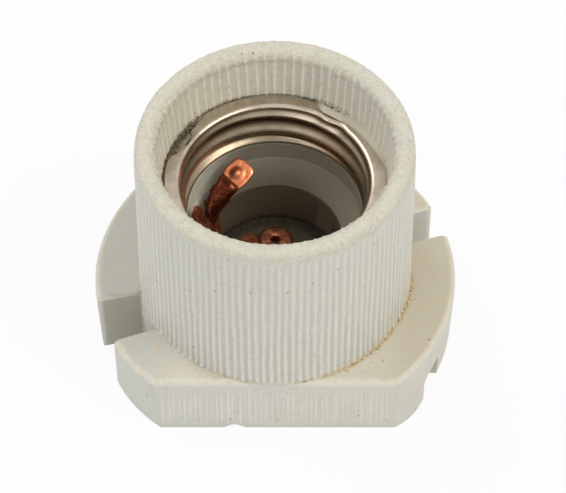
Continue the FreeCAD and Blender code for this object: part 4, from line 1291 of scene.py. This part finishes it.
def make_eyelet():
    head_z, plate_z = FLOOR_Z + STRIP, RIVET_LOW_Z + 0.5
    profile = [(BORE, plate_z - 0.2), (BORE, head_z - 1.4), (CROWN_R, head_z - 0.5), (CROWN_R, head_z + 0.1)]
    profile += arc_points((CROWN_R + 0.4, head_z + 0.14), 0.4, 180, 90, 7)
    profile += arc_points((HEAD_R - 0.7, head_z - 0.14), 0.7, 80, 10, 9)
    profile += [(HEAD_R - 0.02, head_z), (BARREL, head_z), (BARREL, plate_z), (TAIL_R, plate_z)]
    profile += arc_points((TAIL_R - 0.22, plate_z - 0.22), 0.22, 0, -90, 5)
    profile += [(BORE + 0.3, RIVET_LOW_Z), (BORE + 0.05, plate_z - 0.35)]

    def beaten(row, r, z, angles):
        lip = (z > head_z + 0.1) & (r > CROWN_R + 0.1)
        swell = 0.05 * np.sin(angles * 3 + row) + 0.03 * np.sin(angles * 7)
        return r + np.where(lip, swell - 0.06, 0), z - np.where(lip, np.abs(swell) * 0.8, 0)

    return make_turned("eyelet", profile, 72, beaten)


def make_plug():
    """The dirt packed in a rivet's bore: a lumpy disc."""
    top, low, wall = FLOOR_Z - 0.75, FLOOR_Z - 1.5, BORE - 0.03
    profile = [(0.02, top), (0.4, top - 0.05), (0.8, top + 0.05), (wall, top), (wall, low), (0.02, low)]

    def lumpy(row, r, z, angles):
        return r, z + np.where(z > top - 0.1, 0.06 * np.sin(angles * 3 + row), 0)

    return make_turned("bore_dirt", profile, 40, lumpy)


# %% One on each side
def paired(source, material):
    """A tree that sets the source at two places, one on each side of the axis."""
    tree = GeometryGraph("paired_" + source.name, Spacing=9.6, Seed=3)
    get = tree.named
    half = get("Spacing") * (MM / 2)
    start, end = tree.combine(0.0, -half, 0.0), tree.combine(0.0, half, 0.0)
    line = tree.node("GeometryNodeMeshLine", {"mode": "END_POINTS"},
                     {"Count": 2, "Start Location": start, "Offset": end})
    turn = tree.node("FunctionNodeRandomValue", {"data_type": "FLOAT"},
                     {2: 0.0, 3: 6.28, "Seed": get("Seed")}, 1)
    copied = tree.node("GeometryNodeObjectInfo", {"transform_space": "ORIGINAL"},
                       {"Object": source}, "Geometry")
    placed = tree.node("GeometryNodeInstanceOnPoints", None,
                       {"Points": line, "Instance": copied, "Rotation": tree.combine(0.0, 0.0, turn)})
    tree.finish(placed, material)
    return tree


def set_pair(name, source, material):
    made = bpy.data.objects.new(name, bpy.data.meshes.new(name))
    bpy.context.scene.collection.objects.link(made)
    grow(made, paired(source, material), Spacing=2 * RIVET_Y, Seed=3)
    bpy.data.objects.remove(source)
    print(name, len(made.data.polygons), "faces, at", round(RIVET_Y, 2), "mm from the axis")
    return made


rivets = set_pair("tubular_rivets", make_eyelet(), COPPER_ROLLED)

# %% [markdown]
# ## Crumbs
# Grit has caught where the barrel meets the flange, and dirt where the collar meets the mouth. At the
# left and at the dent the dark crumbs also stand in for the shade in the gap beside the collar: painted
# shade. Both are the same rule: points along an arc, each with a low-poly grain of a random size and
# turn. The grains share a seed, so every run gives the same crumbs.

# %% Crumb finishes
def crumb_finish(name, pale, dark):
    crumb = Finish(name)
    tint = crumb.noise(crumb.place, 2.6, 2.0)
    fine = crumb.noise(crumb.place, 9.0, 2.0)
    colour = crumb.mix(tint.above(0.38, 0.62), pale, dark)
    return crumb.done(base_color=colour, roughness=fine * 0.2 + 0.7, normal=crumb.bump(fine, 0.03))


RUSTY_GRIT = crumb_finish("rusty_grit", tone(228, 208, 168), tone(188, 154, 108))
CLAY_GRIT = crumb_finish("clay_grit", tone(222, 216, 196), tone(202, 192, 164))
# dark dirt, also used for crumbs that stand in for the shade in the gaps beside the collar
DARK_DIRT_AND_GAP_SHADE = crumb_finish("dark_dirt", tone(132, 112, 82), tone(74, 60, 42))
plugs = set_pair("dirt_in_rivets", make_plug(), DARK_DIRT_AND_GAP_SHADE)


# %% Crumb tree
def crumb_trail(material):
    tree = GeometryGraph("crumb_trail_" + material.name, Radius=BODY_R, Height=BASE_TOP_Z, From=-1.2,
                         Sweep=1.0, Count=120, Spread=0.15, Rise=0.05, Smallest=0.06, Largest=0.2, Seed=1)
    get = tree.named
    arc = tree.node("GeometryNodeCurveArc", {"mode": "RADIUS"},
                    {"Resolution": 96, "Radius": get("Radius") * MM, "Start Angle": get("From"),
                     "Sweep Angle": get("Sweep")})
    points = tree.node("GeometryNodeCurveToPoints", {"mode": "COUNT"}, {"Curve": arc, "Count": get("Count")})

    def random(low, high, shift):
        return tree.node("FunctionNodeRandomValue", {"data_type": "FLOAT"},
                         {2: low, 3: high, "Seed": get("Seed") + shift}, 1)

    place = tree.node("GeometryNodeInputPosition")
    outward = tree.vector("NORMALIZE", place)
    aside = tree.vector("NORMALIZE", tree.vector("CROSS_PRODUCT", place, (0.0, 0.0, 1.0)))
    spread = random(-1.0, 1.0, 1)
    offset = tree.scaled(outward, spread * spread.absolute() * get("Spread") * MM)
    offset = tree.vector("ADD", offset, tree.scaled(aside, random(-1.0, 1.0, 2) * get("Spread") * (2 * MM)))
    height = (get("Height") + random(0.0, 1.0, 3) * get("Rise")) * MM
    offset = tree.vector("ADD", offset, tree.combine(0.0, 0.0, height))
    settled = tree.node("GeometryNodeSetPosition", None, {"Geometry": points, "Offset": offset})
    grain = tree.node("GeometryNodeMeshIcoSphere", None, {"Radius": MM, "Subdivisions": 2})
    rough = tree.noise(tree.node("GeometryNodeInputPosition"), 1400.0, 1.0) - 0.5
    lump = tree.scaled(tree.node("GeometryNodeInputNormal"), rough * (1.3 * MM))
    grain = tree.node("GeometryNodeSetPosition", None, {"Geometry": grain, "Offset": lump})
    small = random(0.0, 1.0, 4)
    size = get("Smallest") + small * small * small * (get("Largest") - get("Smallest"))
    turn = tree.combine(random(0.0, 6.28, 5), random(0.0, 6.28, 6), random(0.0, 6.28, 7))
    placed = tree.node("GeometryNodeInstanceOnPoints", None,
                       {"Points": settled, "Instance": grain, "Rotation": turn,
                        "Scale": tree.combine(size, size * random(0.6, 1.0, 8), size * random(0.5, 0.9, 9))})
    tree.finish(placed, material)
    return tree


# %% Crumbs
def scatter(name, material, start, end, **sizes):
    """A trail of crumbs between two directions, in degrees."""
    made = bpy.data.objects.new(name, bpy.data.meshes.new(name))
    bpy.context.scene.collection.objects.link(made)
    sizes.update(From=math.radians(start), Sweep=math.radians(end - start))
    grow(made, crumb_trail(material), **sizes)
    print(name, len(made.data.polygons), "faces")
    return made


crumbs = [
    scatter("grit_at_right", RUSTY_GRIT, -62, -2, Radius=19.26, Height=9.95, Count=150, Spread=0.22,
            Rise=0.06, Smallest=0.035, Largest=0.26, Seed=5),
    scatter("pale_grit_at_right", CLAY_GRIT, -70, -8, Radius=19.25, Height=9.97, Count=110, Spread=0.24,
            Rise=0.08, Smallest=0.04, Largest=0.24, Seed=7),
    scatter("grit_at_left", RUSTY_GRIT, -146, -108, Radius=19.6, Height=9.93, Count=34, Spread=0.9,
            Rise=0.02, Smallest=0.04, Largest=0.15, Seed=16),
    scatter("flash_at_front", CLAY_GRIT, -128, -60, Radius=19.12, Height=9.95, Count=240, Spread=0.14,
            Rise=0.06, Smallest=0.05, Largest=0.20, Seed=27),
    scatter("dirt_at_notch", DARK_DIRT_AND_GAP_SHADE, 138, 160, Radius=14.75, Height=SHELF_Z + 0.08, Count=260, Spread=0.40,
            Rise=0.28, Smallest=0.05, Largest=0.19, Seed=38),
    # painted shade: dark crumbs along the left, in the thin gap beside the collar
    scatter("dirt_at_left", DARK_DIRT_AND_GAP_SHADE, 160, 190, Radius=15.22, Height=SHELF_Z + 0.1, Count=150, Spread=0.10,
            Rise=0.30, Smallest=0.04, Largest=0.13, Seed=39),
    scatter("dirt_behind_collar", DARK_DIRT_AND_GAP_SHADE, 104, 134, Radius=15.25, Height=SHELF_Z + 0.30, Count=40,
            Spread=0.10, Rise=0.15, Smallest=0.04, Largest=0.13, Seed=49),
    # painted shade: dark crumbs at the dent, in the gap beside the collar
    scatter("dirt_at_dent", DARK_DIRT_AND_GAP_SHADE, 52, 76, Radius=15.1, Height=SHELF_Z + 0.05, Count=60, Spread=0.20,
            Rise=0.10, Smallest=0.04, Largest=0.12, Seed=51),
    scatter("dirt_in_well", DARK_DIRT_AND_GAP_SHADE, 60, 130, Radius=8.2, Height=FLOOR_Z + 0.03, Count=80, Spread=0.9,
            Rise=0.04, Smallest=0.04, Largest=0.13, Seed=60)]

# %% [markdown]
# ## Finishes on the CAD's own pieces
# The terminal plates, clamp washers and screws are right as the CAD has them. They keep their solids
# and get their metals.

# %% Finishes by node
CAD_FINISHES = {}
for side in ("live", "neutral"):
    CAD_FINISHES[side + "_terminal_plate"] = BRASS_PLATE
    CAD_FINISHES[side + "_clamp_washer"] = ZINC_STEEL
    CAD_FINISHES[side + "_terminal_screw"] = ZINC_STEEL

for name, material in CAD_FINISHES.items():
    for spot in nodes[name].material_slots:
        spot.material = material
print("dressed CAD nodes:", len(CAD_FINISHES))

# %% [markdown]
# ## Riding on the bodies
# Each piece is parented to an empty for the body that carries it, and the CAD nodes it stands for
# are hidden. The table also names a finish for each piece, which is not used here. The tongue's two
# pieces swing with the tongue; all the rest stays with the holder.

# %% Ride, and hide the CAD nodes each piece stands for
RIDES = [(barrel, "holder", ["ceramic_body"], "ceramic"), (base, "holder", ["ceramic_body"], "ceramic"),
         (flat_lines, "holder", ["ceramic_body"], "ceramic"),
         (shell, "holder", ["thread_shell"], "nickel_sheet"),
         (neck, "contact_tongue", ["centre_contact_tongue"], "copper_worn"),
         (head, "contact_tongue", ["centre_contact_tongue"], "copper_bright"),
         (foot, "holder", ["centre_contact_foot"], "copper"),
         (side_strip, "holder", ["side_contact"], "copper"),
         (rivets, "holder", ["centre_rivet", "side_rivet"], "copper_bright")]
RIDES += [(crumb, "holder", [], "ceramic") for crumb in crumbs + [plugs]]
for piece, body, stood_for, finish in RIDES:
    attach(piece, body)
    if stood_for:
        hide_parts(*stood_for)
print("pieces:", len(RIDES))

# %% [markdown]
# ## Sizes
# Both boxes are printed, the CAD model's and the visual model's. The visual model must
# stay inside the CAD model's box.

# %% Size note and finish
seen_low, seen_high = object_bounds()
for label, size in (("CAD", cad_high - cad_low), ("visual", seen_high - seen_low)):
    print(label, [round(v / MM, 2) for v in size], "mm")
